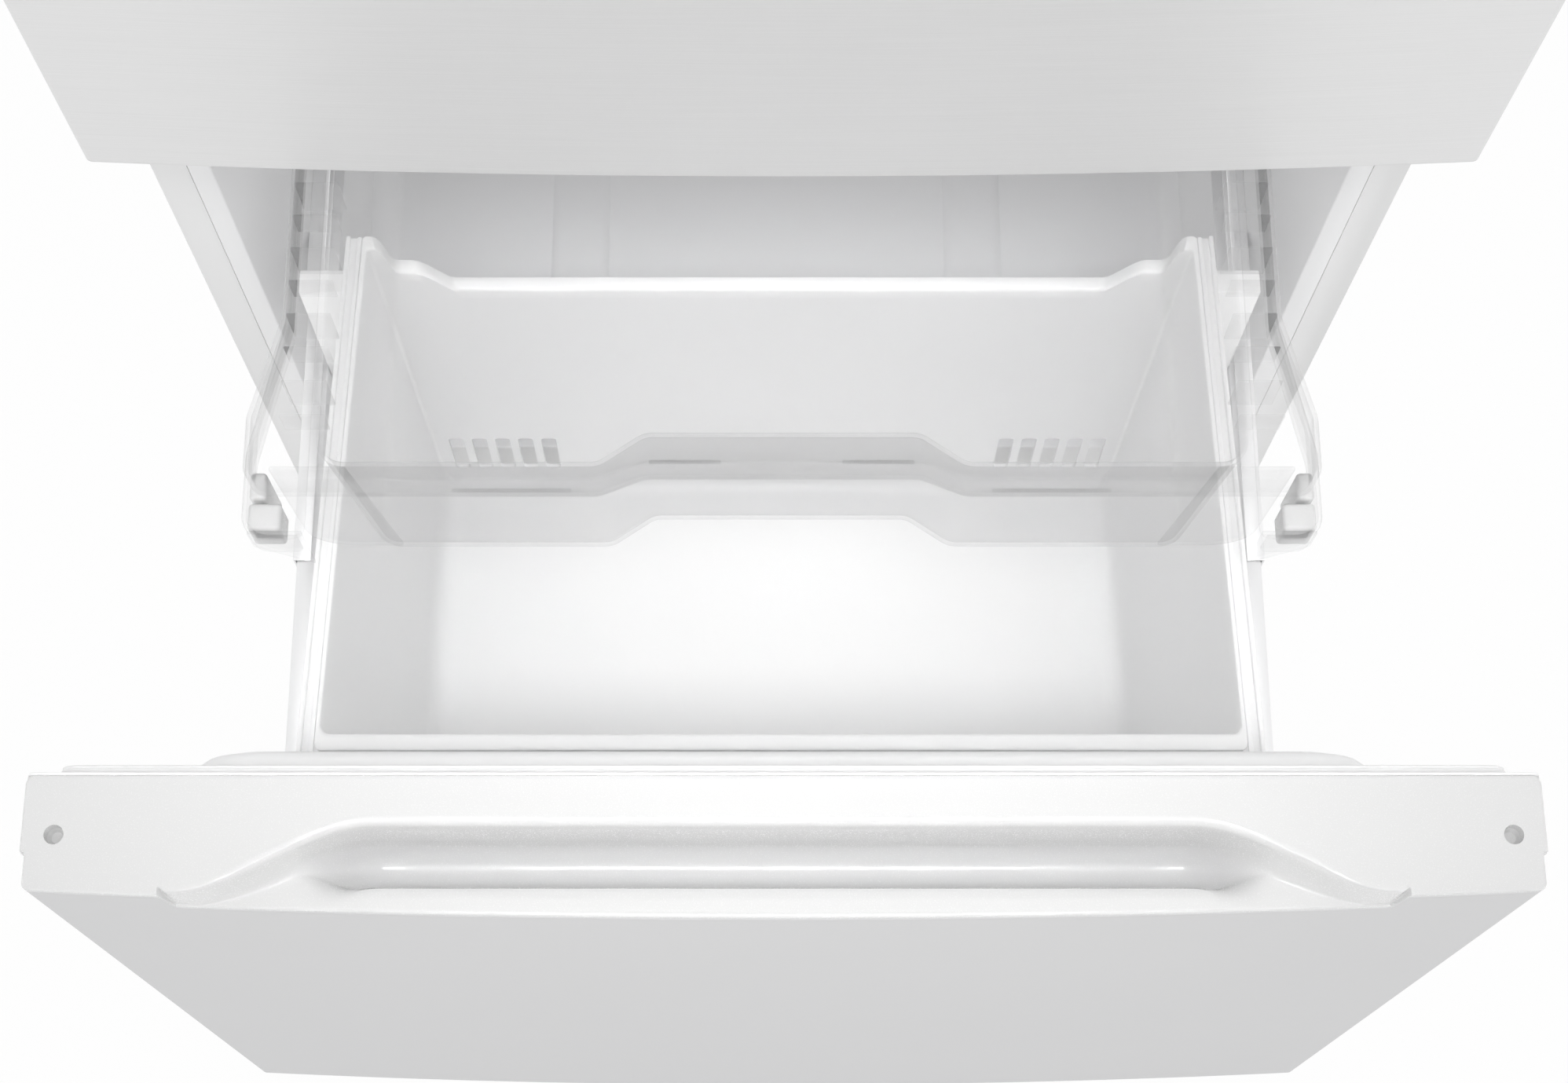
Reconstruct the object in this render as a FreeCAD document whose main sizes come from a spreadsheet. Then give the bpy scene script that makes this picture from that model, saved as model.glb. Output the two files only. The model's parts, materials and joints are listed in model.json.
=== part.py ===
import FreeCAD, Part
import math
import os
import re
import Sketcher

# A bottom-freezer refrigerator, 30-inch class, with its freezer drawer pulled out and its
# upper door shut. +Z is up, the front faces -Y, and the origin lies on the floor under the
# middle of the whole opened object. All lengths are millimetres.

doc = FreeCAD.newDocument("bottom_freezer_refrigerator")
sheet = doc.addObject("Spreadsheet::Sheet", "Sizes")

# ---------------------------------------------------------------- driving dimensions
SIZES = {
    # the whole object
    "width": 756, "case_depth": 700, "foot_height": 40, "drawer_clear": 15,
    "drawer_height": 658, "door_gap": 8, "door_height": 961, "top_gap": 8,
    "door_depth": 60, "seal_depth": 8, "front_bow": 9, "corner_round": 4,
    "drawer_travel": 398, "tray_reach": 168,
    # sheet, shell and clearances
    "skin": 1, "liner_wall": 2, "running_gap": 0.3, "shaft_gap": 0.06, "pan_sheet": 3,
    # case mouth, liners and insulation
    "flange": 21.5, "liner_lip": 14, "top_flange": 30, "mouth_taper": 60,
    "side_wall": 57, "top_wall": 50, "floor_wall": 78, "roof_drop": 32,
    "mullion_height": 59, "mullion_depth": 34, "sill": 4, "fridge_back_wall": 80,
    "freezer_back_wall": 118, "step_depth": 410, "step_rise": 197, "step_wall": 45,
    # door seals, end caps and inner panels
    "seal_edge": 9, "drawer_seal_edge": 14, "seal_width": 15, "end_cap": 14,
    "panel_wall": 1.5, "dyke_side": 60, "dyke_width": 26, "dyke_depth": 68,
    "dyke_low": 40, "dyke_high": 52,
    # pocket grip in the free edge of the upper door
    "grip_low": 280, "grip_length": 320, "grip_depth": 24, "grip_front": 16,
    "grip_opening": 28, "grip_wall": 2,
    # drawer front: skin wrap, side cheeks, scoop handle and its holes
    "skin_wrap": 19, "cheek_reveal": 2.4, "cheek_wall": 3.9, "cap_plate": 3, "cap_wall": 2.5,
    "scoop_side": 72, "scoop_turn_in": 36, "scoop_bend_in": 64, "scoop_flat_in": 94,
    "scoop_back": 32, "scoop_shoulder": 23, "scoop_toe": 3, "lip_drop": 25,
    "channel_in": 60, "channel_round": 12, "channel_drop": 54,
    "cap_hole": 5, "cap_hole_side": 14, "cap_hole_back": 28,
    "drawer_dyke_side": 58, "drawer_dyke_slope": 22, "drawer_dyke_depth": 25,
    "drawer_dyke_top": 37, "drawer_dyke_foot": 75, "drawer_dyke_width": 28,
    # hinges
    "hinge_side": 14, "hinge_back": 30, "hinge_pin": 5, "hinge_plate": 5,
    "hinge_inward": 64, "hinge_leg": 3.5, "top_plate": 3, "top_plate_length": 120,
    "cover_height": 25, "cover_wall": 2, "cover_margin": 6,
    # freezer bin and its frame
    "bin_front": 123, "bin_length": 330, "bin_top_drop": 196, "bin_foot": 10,
    "bin_side_front": 59, "bin_side_rear": 71, "bin_side_floor": 79, "bin_draft": 13,
    "bin_wall": 2.6, "bin_rim": 10, "bin_rim_sheet": 3, "notch_side": 36,
    "notch_drop": 60, "ledge_side": 7, "ledge_drop": 34, "notch_slope": 9,
    "vent_count": 5, "vent_pitch": 17, "vent_width": 11, "vent_height": 56,
    "vent_wall_gap": 87, "vent_low": 17, "rail_width": 10, "rail_height": 26, "frame_bar": 8,
    # telescopic slides
    "slide_low": 207, "slide_height": 46, "slide_sheet": 1.6, "slide_width": 12,
    "slide_length": 378, "slide_start": 22, "slide_play": 0.8, "arm_height": 22,
    # clear tray and its side guides
    "tray_length": 330, "tray_top_drop": 37, "tray_height": 152, "tray_side": 71,
    "tray_draft": 14, "tray_wall": 2.6, "tray_side_rim": 25, "tray_flare": 16,
    "tray_lip": 25, "tray_rim": 12, "jog_half": 75, "jog_slope": 25, "jog_rim": 10,
    "jog_wall": 17, "flare_start": 18, "flare_end": 98, "rib_pitch": 20, "rib_count": 15,
    "rib_sheet": 2, "guide_lead": 20, "guide_length": 378, "guide_width": 35,
    "guide_side": 24, "guide_drop": 35, "guide_sheet": 4, "guide_web": 40,
    "block_height": 26, "block_length": 16, "roller_round": 12, "roller_width": 8,
    "rail_sheet": 2,
    # fittings of the fridge compartment
    "shelf_count": 3, "shelf_pitch": 165, "shelf_first": 400, "shelf_glass": 4,
    "shelf_trim": 12, "shelf_set_back": 115, "shelf_ledge": 6, "shelf_play": 1.2,
    "crisper_height": 190, "crisper_set_back": 112, "crisper_length": 380,
    "crisper_wall": 2.4, "crisper_gap": 10, "crisper_cover_sheet": 5,
    "duct_half": 110, "duct_depth": 16, "duct_margin": 90, "duct_slot": 12,
    "panel_half": 140, "panel_height": 34, "panel_back": 84, "panel_length": 100,
    "dial_round": 14, "dial_proud": 8, "dial_stem": 4, "dial_length": 20,
    "slider_knob": 24, "slider_slot": 60,
    # bins inside the upper door
    "rack_depth": 100, "rack_wall": 2.5, "bottle_rack_height": 130, "rack_height": 95,
    "bottle_rack_low": 70, "rack_low": 400, "dairy_low": 700, "dairy_height": 100,
    "dairy_depth": 90, "lid_sheet": 2.5, "lid_pin": 3, "lid_length": 92,
    # cold-air parts behind the freezer wall
    "air_cover_sheet": 3, "air_space": 90, "fan_round": 46, "fan_hub": 14, "fan_depth": 10,
    "fan_shaft": 3, "motor_round": 22, "motor_length": 26, "coil_height": 190,
    "coil_depth": 56, "coil_side": 91, "coil_tube": 4, "coil_rows": 6, "heater_round": 5,
    # machine compartment
    "can_round": 72, "can_height": 165, "can_wall_gap": 208, "grommet": 13, "can_plate": 4,
    "condenser_wall_gap": 48, "condenser_width": 70, "condenser_height": 170,
    "condenser_length": 180, "tube_round": 3.5, "condenser_fan": 66, "pan_depth": 18,
    "pan_half": 62, "grille_count": 14, "grille_pitch": 24, "grille_slot": 10,
    "gland_round": 9, "gland_side": 82, "gland_rise": 30,
    # feet, rear rollers and toe plate
    "foot_pad": 20, "foot_sheet": 8, "foot_stem": 5, "foot_side": 48, "foot_back": 40,
    "wheel_round": 18, "wheel_width": 22, "wheel_axle": 4, "wheel_side": 40,
    "wheel_back": 60, "ear_sheet": 2.5, "toe_low": 8, "toe_back": 17, "toe_sheet": 3,
    "toe_slots": 24, "toe_pitch": 26, "toe_slot": 14,
}

for row, (alias, value) in enumerate(SIZES.items(), start=1):
    sheet.set(f"A{row}", alias)
    sheet.set(f"B{row}", str(value))
    sheet.setAlias(f"B{row}", alias)
doc.recompute()


# ---------------------------------------------------------------- ways to build a piece
def bound(formula):
    """A formula in the sheet's own words, as an expression on the sheet's cells."""
    def cell(word):
        return f"Sizes.{word.group(0)}" if word.group(0) in SIZES else word.group(0)
    return re.sub(r"[A-Za-z_]\w*", cell, formula)


def number(formula):
    return float(sheet.evalExpression(bound(formula)))


def put(piece, x, y, z):
    for axis, where in zip("xyz", (x, y, z)):
        piece.setExpression(f"Placement.Base.{axis}", bound(where))
    return piece


def turn_to(axis):
    """The rotation that lays a piece made along Z along another axis."""
    return {"X": FreeCAD.Rotation(FreeCAD.Vector(0, 1, 0), 90),
            "Y": FreeCAD.Rotation(FreeCAD.Vector(1, 0, 0), -90),
            "Z": FreeCAD.Rotation()}[axis]


def block(name, x, y, z):
    """A box between a low and a high limit on each axis."""
    box = doc.addObject("Part::Box", name)
    for side, (low, high) in zip(("Length", "Width", "Height"), (x, y, z)):
        box.setExpression(side, bound(f"({high}) - ({low})"))
    return put(box, x[0], y[0], z[0])


def rod(name, radius, length, at, axis):
    bar = doc.addObject("Part::Cylinder", name)
    bar.setExpression("Radius", bound(radius))
    bar.setExpression("Height", bound(length))
    bar.Placement.Rotation = turn_to(axis)
    return put(bar, *at)


def joined(name, *pieces):
    whole = doc.addObject("Part::MultiFuse", name)
    whole.Shapes = list(pieces)
    whole.Refine = True
    return whole


def trimmed(name, base, *tools):
    cut = doc.addObject("Part::Cut", name)
    cut.Base = base
    cut.Tool = tools[0] if len(tools) == 1 else joined(f"{name}_tools", *tools)
    cut.Refine = True
    return cut


def group(name, *pieces):
    """Separate solids that share one node."""
    several = doc.addObject("Part::Compound", name)
    several.Links = list(pieces)
    return several


def mirrored(name, piece):
    other = doc.addObject("Part::Mirroring", name)
    other.Source = piece
    other.Normal = FreeCAD.Vector(1, 0, 0)
    return other


def tube_block(name, x, y, z, wall):
    """A four-sided sleeve along Y: a block with a smaller block taken out of it."""
    whole = block(f"{name}_whole", x, y, z)
    hollow = block(f"{name}_hollow", (f"{x[0]} + {wall}", f"{x[1]} - {wall}"),
                   (f"{y[0]} - 1", f"{y[1]} + 1"), (f"{z[0]} + {wall}", f"{z[1]} - {wall}"))
    return trimmed(name, whole, hollow)


def new_body(name):
    body = doc.addObject("PartDesign::Body", name)
    body.AllowCompound = True
    return body


def new_sketch(body, name, plane, offset):
    """A sketch on one of the body's own origin planes, moved along that plane's normal."""
    sketch = body.newObject("Sketcher::SketchObject", name)
    support = [f for f in body.Origin.OriginFeatures if f.Role == f"{plane}_Plane"][0]
    sketch.AttachmentSupport = (support, [""])
    sketch.MapMode = "FlatFace"
    sign = "-" if plane == "XZ" else ""
    sketch.setExpression("AttachmentOffset.Base.z", bound(f"{sign}({offset})"))
    return sketch


def pin_point(sketch, edge, end, u, v):
    """Fixes one end of an edge at two formulas measured from the sketch's origin."""
    for kind, formula in (("DistanceX", u), ("DistanceY", v)):
        rule = Sketcher.Constraint(kind, -1, 1, edge, end, number(formula))
        index = sketch.addConstraint(rule)
        sketch.setExpression(f"Constraints[{index}]", bound(formula))


def draw(sketch, points):
    """A closed outline of straight lines through points given as pairs of formulas."""
    corners = [FreeCAD.Vector(number(u), number(v), 0) for u, v in points]
    count = len(points)
    for i in range(count):
        sketch.addGeometry(Part.LineSegment(corners[i], corners[(i + 1) % count]), False)
    for i in range(count):
        sketch.addConstraint(Sketcher.Constraint("Coincident", i, 2, (i + 1) % count, 1))
        pin_point(sketch, i, 1, *points[i])
    return sketch


def padded(body, name, sketch, length, reverse=False):
    pad = body.newObject("PartDesign::Pad", name)
    pad.Profile = sketch
    pad.Reversed = reverse
    pad.setExpression("Length", bound(length))
    return pad


def prism(name, plane, points, low, high):
    """An outline drawn on a plane and drawn out between two places along its normal."""
    body = new_body(name)
    sketch = draw(new_sketch(body, f"{name}_outline", plane, low), points)
    padded(body, f"{name}_pad", sketch, f"({high}) - ({low})", plane == "XZ")
    return body


def row_of(name, x, y, z, count, pitch):
    """A row along X of equal blocks, the first given by its limits."""
    body = new_body(name)
    corners = [(x[0], z[0]), (x[1], z[0]), (x[1], z[1]), (x[0], z[1])]
    sketch = draw(new_sketch(body, f"{name}_outline", "XZ", y[0]), corners)
    pad = padded(body, f"{name}_pad", sketch, f"({y[1]}) - ({y[0]})", True)
    line = body.newObject("PartDesign::LinearPattern", f"{name}_row")
    line.Originals = [pad]
    line.Direction = (sketch, ["H_Axis"])
    line.setExpression("Length", bound(f"({count} - 1)*{pitch}"))
    line.setExpression("Occurrences", bound(count))
    body.Tip = line
    return body


def loft(name, low_points, low, high_points, high):
    """A solid with flat sides between a lower and an upper outline."""
    body = new_body(name)
    bottom = draw(new_sketch(body, f"{name}_bottom", "XY", low), low_points)
    top = draw(new_sketch(body, f"{name}_top", "XY", high), high_points)
    form = body.newObject("PartDesign::AdditiveLoft", f"{name}_loft")
    form.Profile = bottom
    form.Sections = [top]
    form.Ruled = True
    return body


def turned(name, points, at, axis):
    """A turned solid: its half section, as radius and height, spun about its own axis."""
    body = new_body(name)
    sketch = draw(new_sketch(body, f"{name}_section", "XZ", "0"), points)
    spin = body.newObject("PartDesign::Revolution", f"{name}_spin")
    spin.Profile = sketch
    spin.ReferenceAxis = (sketch, ["V_Axis"])
    spin.Angle = 360
    body.Placement.Rotation = turn_to(axis)
    return put(body, *at)


def bowed_slab(name, inset, front, back, low, high):
    """A slab whose front is one long arc, deepest at mid-width, with rounded corners."""
    body = new_body(name)
    sketch = new_sketch(body, f"{name}_outline", "XY", low)
    side = f"(width/2 - {inset})"
    radius = f"(width*width/(8*front_bow) + front_bow/2 - {inset})"
    edge = f"({front} - front_bow + {inset} + {radius} - sqrt({radius}*{radius} - {side}*{side}))"
    centre = FreeCAD.Vector(0, number(f"{front} - front_bow + {inset} + {radius}"), 0)
    circle = Part.Circle(centre, FreeCAD.Vector(0, 0, 1), number(radius))
    swing = math.asin(number(side) / number(radius))
    down = -math.pi / 2
    sketch.addGeometry(Part.ArcOfCircle(circle, down - swing, down + swing), False)
    corners = [(side, edge), (side, back), (f"-{side}", back), (f"-{side}", edge)]
    spots = [FreeCAD.Vector(number(u), number(v), 0) for u, v in corners]
    for start, end in zip(spots, spots[1:]):
        sketch.addGeometry(Part.LineSegment(start, end), False)
    for i in range(4):
        sketch.addConstraint(Sketcher.Constraint("Coincident", i, 2, (i + 1) % 4, 1))
    for i in range(3):
        pin_point(sketch, i + 1, 1, *corners[i])
    pin_point(sketch, 0, 1, *corners[3])
    index = sketch.addConstraint(Sketcher.Constraint("Radius", 0, number(radius)))
    sketch.setExpression(f"Constraints[{index}]", bound(radius))
    pad = padded(body, f"{name}_pad", sketch, f"({high}) - ({low})")
    doc.recompute()
    limit = number(edge) + 0.01
    names = []
    for i, line in enumerate(pad.Shape.Edges, start=1):
        box = line.BoundBox
        if box.ZLength > box.YLength + box.XLength and box.YMax < limit:
            names.append(f"Edge{i}")
    fillet = body.newObject("PartDesign::Fillet", f"{name}_corners")
    fillet.Base = (pad, names)
    fillet.setExpression("Radius", bound(f"corner_round - {inset}"))
    return body


def fan_blade(name, radius, at, axis):
    """A hub with a shaft bore and five flat paddles spread round it."""
    body = new_body(f"{name}_paddles")
    sketch = draw(new_sketch(body, f"{name}_paddle", "XY", "fan_depth*0.2"),
                  [("fan_hub - 2", "-7"), (radius, "-15"), (radius, "13"),
                   ("fan_hub - 2", "6")])
    paddle = padded(body, f"{name}_blade", sketch, "fan_depth*0.5")
    ring = body.newObject("PartDesign::PolarPattern", f"{name}_ring")
    ring.Originals = [paddle]
    support = [f for f in body.Origin.OriginFeatures if f.Role == "Z_Axis"][0]
    ring.Axis = (support, [""])
    ring.Angle = 360
    ring.Occurrences = 5
    body.Tip = ring
    hub = rod(f"{name}_hub", "fan_hub", "fan_depth", ("0", "0", "0"), "Z")
    bore = rod(f"{name}_bore", "fan_shaft + shaft_gap", "fan_depth + 2", ("0", "0", "-1"), "Z")
    wheel = trimmed(name, joined(f"{name}_wheel", hub, body), bore)
    wheel.Placement.Rotation = turn_to(axis)
    return put(wheel, *at)


def ring_block(name, x, y, z, border):
    """A picture-frame ring that stands in the XZ plane."""
    whole = block(f"{name}_whole", x, y, z)
    window = block(f"{name}_window", (f"{x[0]} + {border}", f"{x[1]} - {border}"),
                   (f"{y[0]} - 1", f"{y[1]} + 1"), (f"{z[0]} + {border}", f"{z[1]} - {border}"))
    return trimmed(name, whole, window)


# ---------------------------------------------------------------- main places
half = "width/2"
face = "((drawer_travel + front_bow - door_depth - seal_depth - case_depth)/2)"
case_front = f"({face} + door_depth + seal_depth)"
case_back = f"({case_front} + case_depth)"
out = f"({face} - drawer_travel)"
case_low = "foot_height"
pan_top = f"({case_low} + pan_sheet)"
drawer_low = f"({case_low} + drawer_clear)"
drawer_top = f"({drawer_low} + drawer_height)"
door_low = f"({drawer_top} + door_gap)"
door_top = f"({door_low} + door_height)"
case_top = f"({door_top} + top_gap)"
freezer_floor = f"({pan_top} + floor_wall)"
freezer_roof = f"({drawer_top} - roof_drop)"
mullion_low = f"({freezer_roof} + liner_wall)"
mullion_top = f"({mullion_low} + mullion_height)"
fridge_floor = f"({mullion_top} + sill)"
fridge_roof = f"({case_top} - top_wall)"
inner_half = f"({half} - side_wall)"
mouth_half = f"({half} - flange - liner_lip)"
fridge_back = f"({case_back} - fridge_back_wall)"
freezer_back = f"({case_back} - freezer_back_wall)"
step_front = f"({case_front} + step_depth)"
step_top = f"({freezer_floor} + step_rise)"
machine_front = f"({step_front} + liner_wall + step_wall)"
machine_top = f"({step_top} - liner_wall - step_wall)"
lip_half = f"({half} - flange)"
bin_half_front = f"({inner_half} - bin_side_front)"
bin_half_rear = f"({inner_half} - bin_side_rear)"
bin_half_floor = f"({inner_half} - bin_side_floor)"
tray_half = f"({inner_half} - tray_side)"
tray_floor_half = f"({tray_half} - tray_draft)"
tray_rim_half = f"({tray_half} + tray_side_rim)"
guide_outer = f"({inner_half} - guide_side)"
guide_inner = f"({guide_outer} - guide_width)"


# ---------------------------------------------------------------- cabinet shell
def mouth_wedge(name, grow, low, high):
    """The flared first stretch of a liner, wider at the mouth than inside."""
    return prism(name, "XY",
                 [(f"{mouth_half} + {grow}", case_front),
                  (f"{inner_half} + {grow}", f"{case_front} + mouth_taper"),
                  (f"-{inner_half} - {grow}", f"{case_front} + mouth_taper"),
                  (f"-{mouth_half} - {grow}", case_front)], low, high)


def fridge_space(name, grow):
    low, high = f"{fridge_floor} - {grow}", f"{fridge_roof} + {grow}"
    room = block(f"{name}_room", (f"-{inner_half} - {grow}", f"{inner_half} + {grow}"),
                 (f"{case_front} + mouth_taper", f"{fridge_back} + {grow}"), (low, high))
    return joined(name, room, mouth_wedge(f"{name}_mouth", grow, low, high))


def freezer_space(name, grow):
    """The freezer room, whose floor steps up over the machine compartment."""
    low, high = f"{freezer_floor} - {grow}", f"{freezer_roof} + {grow}"
    steps = [(f"{case_front} + mouth_taper", low), (f"{step_front} + {grow}", low),
             (f"{step_front} + {grow}", f"{step_top} - {grow}"),
             (f"{freezer_back} + {grow}", f"{step_top} - {grow}"),
             (f"{freezer_back} + {grow}", high), (f"{case_front} + mouth_taper", high)]
    room = prism(f"{name}_room", "YZ", steps, f"-{inner_half} - {grow}",
                 f"{inner_half} + {grow}")
    return joined(name, room, mouth_wedge(f"{name}_mouth", grow, low, high))


fridge_outer = fridge_space("fridge_liner_outer", "liner_wall")
freezer_outer = freezer_space("freezer_liner_outer", "liner_wall")

case_wrap = trimmed(
    "case_wrap",
    block("case_wrap_outer", (f"-{half}", half), (case_front, f"{case_back} - skin"),
          (case_low, case_top)),
    block("case_wrap_inner", (f"-{half} + skin", f"{half} - skin"),
          (f"{case_front} - 1", case_back), (f"{case_low} - 1", f"{case_top} - skin")))
case_flanges = trimmed(
    "case_flanges",
    block("case_flange_plate", (f"-{half}", half), (case_front, f"{case_front} + skin"),
          (case_low, case_top)),
    block("case_flange_mouth", (f"-{lip_half}", lip_half),
          (f"{case_front} - 1", f"{case_front} + skin + 1"),
          (f"{freezer_floor} - liner_wall", f"{case_top} - top_flange")))
outer_case = joined("outer_case", case_wrap, case_flanges)

# Shelf ledges are moulded into the side walls of the liner.
ledges = []
for i in range(int(SIZES["shelf_count"])):
    shelf_z = f"({fridge_floor} + shelf_first + {i}*shelf_pitch)"
    for side, sign in (("left", "-"), ("right", "")):
        low = f"{inner_half} - shelf_ledge" if not sign else f"-{inner_half}"
        high = inner_half if not sign else f"-{inner_half} + shelf_ledge"
        ledges.append(block(f"shelf_ledge_{i + 1}_{side}", (low, high),
                            (f"{case_front} + shelf_set_back", fridge_back),
                            (f"{shelf_z} - 8", shelf_z)))
cover_z = f"({fridge_floor} + crisper_height + crisper_gap)"
for side, sign in (("left", "-"), ("right", "")):
    low = f"{inner_half} - shelf_ledge" if not sign else f"-{inner_half}"
    high = inner_half if not sign else f"-{inner_half} + shelf_ledge"
    ledges.append(block(f"cover_ledge_{side}", (low, high),
                        (f"{case_front} + shelf_set_back", fridge_back),
                        (f"{cover_z} - 6", cover_z)))
fridge_lip = trimmed(
    "fridge_lip",
    block("fridge_lip_plate", (f"-{lip_half}", lip_half),
          (case_front, f"{case_front} + liner_wall"),
          (mullion_top, f"{case_top} - top_flange")),
    block("fridge_lip_mouth", (f"-{mouth_half}", mouth_half),
          (f"{case_front} - 1", f"{case_front} + liner_wall + 1"), (fridge_floor, fridge_roof)))
fridge_shell = trimmed("fridge_shell", joined("fridge_shell_solid", fridge_outer, fridge_lip),
                       fridge_space("fridge_liner_inner", "0"))
fridge_liner = joined("fridge_liner", fridge_shell, *ledges)

freezer_lip = block("freezer_lip_plate", (f"-{lip_half}", lip_half),
                    (case_front, f"{case_front} + liner_wall"),
                    (f"{freezer_floor} - liner_wall", mullion_low))
freezer_liner = trimmed("freezer_liner",
                        joined("freezer_shell_solid", freezer_outer, freezer_lip),
                        freezer_space("freezer_liner_inner", "0"))

mullion_bar = tube_block("mullion_bar", (f"-{lip_half}", lip_half),
                         (case_front, f"{case_front} + mullion_depth"),
                         (mullion_low, mullion_top), "liner_wall")
mullion_solid = block("mullion_solid", (f"-{lip_half}", lip_half),
                      (case_front, f"{case_front} + mullion_depth"), (mullion_low, mullion_top))

machine_room = block("machine_room", (f"-{half}", half), (machine_front, case_back),
                     (case_low, machine_top))
foot_wells = group("foot_wells", *[
    rod(f"foot_well_{side}", "foot_stem + 2", "foot_sheet + foot_height",
        (f"{sign}({half} - foot_side)", f"{case_front} + foot_back", case_low), "Z")
    for side, sign in (("left", "-"), ("right", ""))])
foam_block = block("foam_block", (f"-{half} + skin", f"{half} - skin"),
                   (f"{case_front} + liner_wall", f"{case_back} - skin"),
                   (pan_top, f"{case_top} - skin"))
cabinet_foam = trimmed("cabinet_foam", foam_block, fridge_outer, freezer_outer, mullion_solid,
                       machine_room, foot_wells)

back_panel = block("back_panel", (f"-{half}", half), (f"{case_back} - skin", case_back),
                   (machine_top, case_top))

# ---------------------------------------------------------------- base, feet and rollers
foot_x = f"({half} - foot_side)"
foot_y = f"({case_front} + foot_back)"
wheel_x = f"({half} - wheel_side)"
wheel_y = f"({case_back} - wheel_back)"
pan_plate = block("pan_plate", (f"-{half} + skin", f"{half} - skin"),
                  (f"{case_front} + toe_back + toe_sheet", f"{case_back} - skin"),
                  (case_low, pan_top))
pan_parts = [pan_plate]
pan_holes = []
wheels = []
for side, sign in (("left", "-"), ("right", "")):
    pan_holes.append(rod(f"foot_hole_{side}", "foot_stem + shaft_gap", "pan_sheet + 2",
                         (f"{sign}{foot_x}", foot_y, f"{case_low} - 1"), "Z"))
    middle = f"{sign}{wheel_x}"
    gap = "(wheel_width/2 + running_gap)"
    for end, low, high in (("inner", f"{middle} - {gap} - ear_sheet", f"{middle} - {gap}"),
                           ("outer", f"{middle} + {gap}", f"{middle} + {gap} + ear_sheet")):
        pan_parts.append(block(f"wheel_ear_{side}_{end}", (low, high),
                               (f"{wheel_y} - 12", f"{wheel_y} + 12"),
                               ("wheel_round - 9", case_low)))
    pan_parts.append(rod(f"wheel_axle_{side}", "wheel_axle",
                         "wheel_width + 2*running_gap + 2*ear_sheet",
                         (f"{middle} - {gap} - ear_sheet", wheel_y, "wheel_round"), "X"))
    wheels.append(turned(f"rear_roller_{side}",
                         [("wheel_axle + shaft_gap", "0"), ("wheel_round - 2", "0"),
                          ("wheel_round", "2"), ("wheel_round", "wheel_width - 2"),
                          ("wheel_round - 2", "wheel_width"),
                          ("wheel_axle + shaft_gap", "wheel_width")],
                         (f"{middle} - wheel_width/2", wheel_y, "wheel_round"), "X"))
    turned(f"leveling_foot_{side}",
           [("0", "0"), ("foot_pad", "0"), ("foot_pad", "foot_sheet - 3"),
            ("foot_pad - 6", "foot_sheet"), ("foot_stem", "foot_sheet"),
            ("foot_stem", "foot_height + foot_sheet"), ("0", "foot_height + foot_sheet")],
           (f"{sign}{foot_x}", foot_y, "0"), "Z")
base_pan = trimmed("base_pan", joined("base_pan_solid", *pan_parts), *pan_holes)
rear_rollers = group("rear_rollers", *wheels)

toe_plate = block("toe_plate", (f"-{half} + 3", f"{half} - 3"),
                  (f"{case_front} + toe_back", f"{case_front} + toe_back + toe_sheet"),
                  ("toe_low", pan_top))
toe_slots = row_of("toe_slot_row",
                   ("-((toe_slots - 1)*toe_pitch + toe_slot)/2",
                    "-((toe_slots - 1)*toe_pitch - toe_slot)/2"),
                   (f"{case_front} + toe_back - 1", f"{case_front} + toe_back + toe_sheet + 1"),
                   ("toe_low + 8", f"{case_low} - 6"), "toe_slots", "toe_pitch")
kick_plate = trimmed("kick_plate", toe_plate, toe_slots)

# ---------------------------------------------------------------- machine compartment
can_x = f"({half} - can_wall_gap)"
can_y = f"(({machine_front} + {case_back})/2)"
can_z = f"({pan_top} + grommet + can_plate)"
can = turned("compressor_can",
             [("0", "0"), ("can_round*0.72", "0"), ("can_round*0.93", "can_height*0.08"),
              ("can_round", "can_height*0.2"), ("can_round", "can_height*0.46"),
              ("can_round + 3", "can_height*0.47"), ("can_round + 3", "can_height*0.53"),
              ("can_round", "can_height*0.54"), ("can_round", "can_height*0.78"),
              ("can_round*0.88", "can_height*0.92"), ("can_round*0.55", "can_height"),
              ("0", "can_height")], (can_x, can_y, can_z), "Z")
can_base = block("compressor_plate", (f"{can_x} - can_round", f"{can_x} + can_round"),
                 (f"{can_y} - can_round", f"{can_y} + can_round"),
                 (f"{pan_top} + grommet", can_z))
compressor = joined("compressor", can, can_base)
compressor_mounts = group("compressor_mounts", *[
    rod(f"grommet_{i}{j}", "can_round*0.16", "grommet",
        (f"{can_x} + ({i})*can_round*0.8", f"{can_y} + ({j})*can_round*0.8", pan_top), "Z")
    for i in (-1, 1) for j in (-1, 1)])

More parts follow.
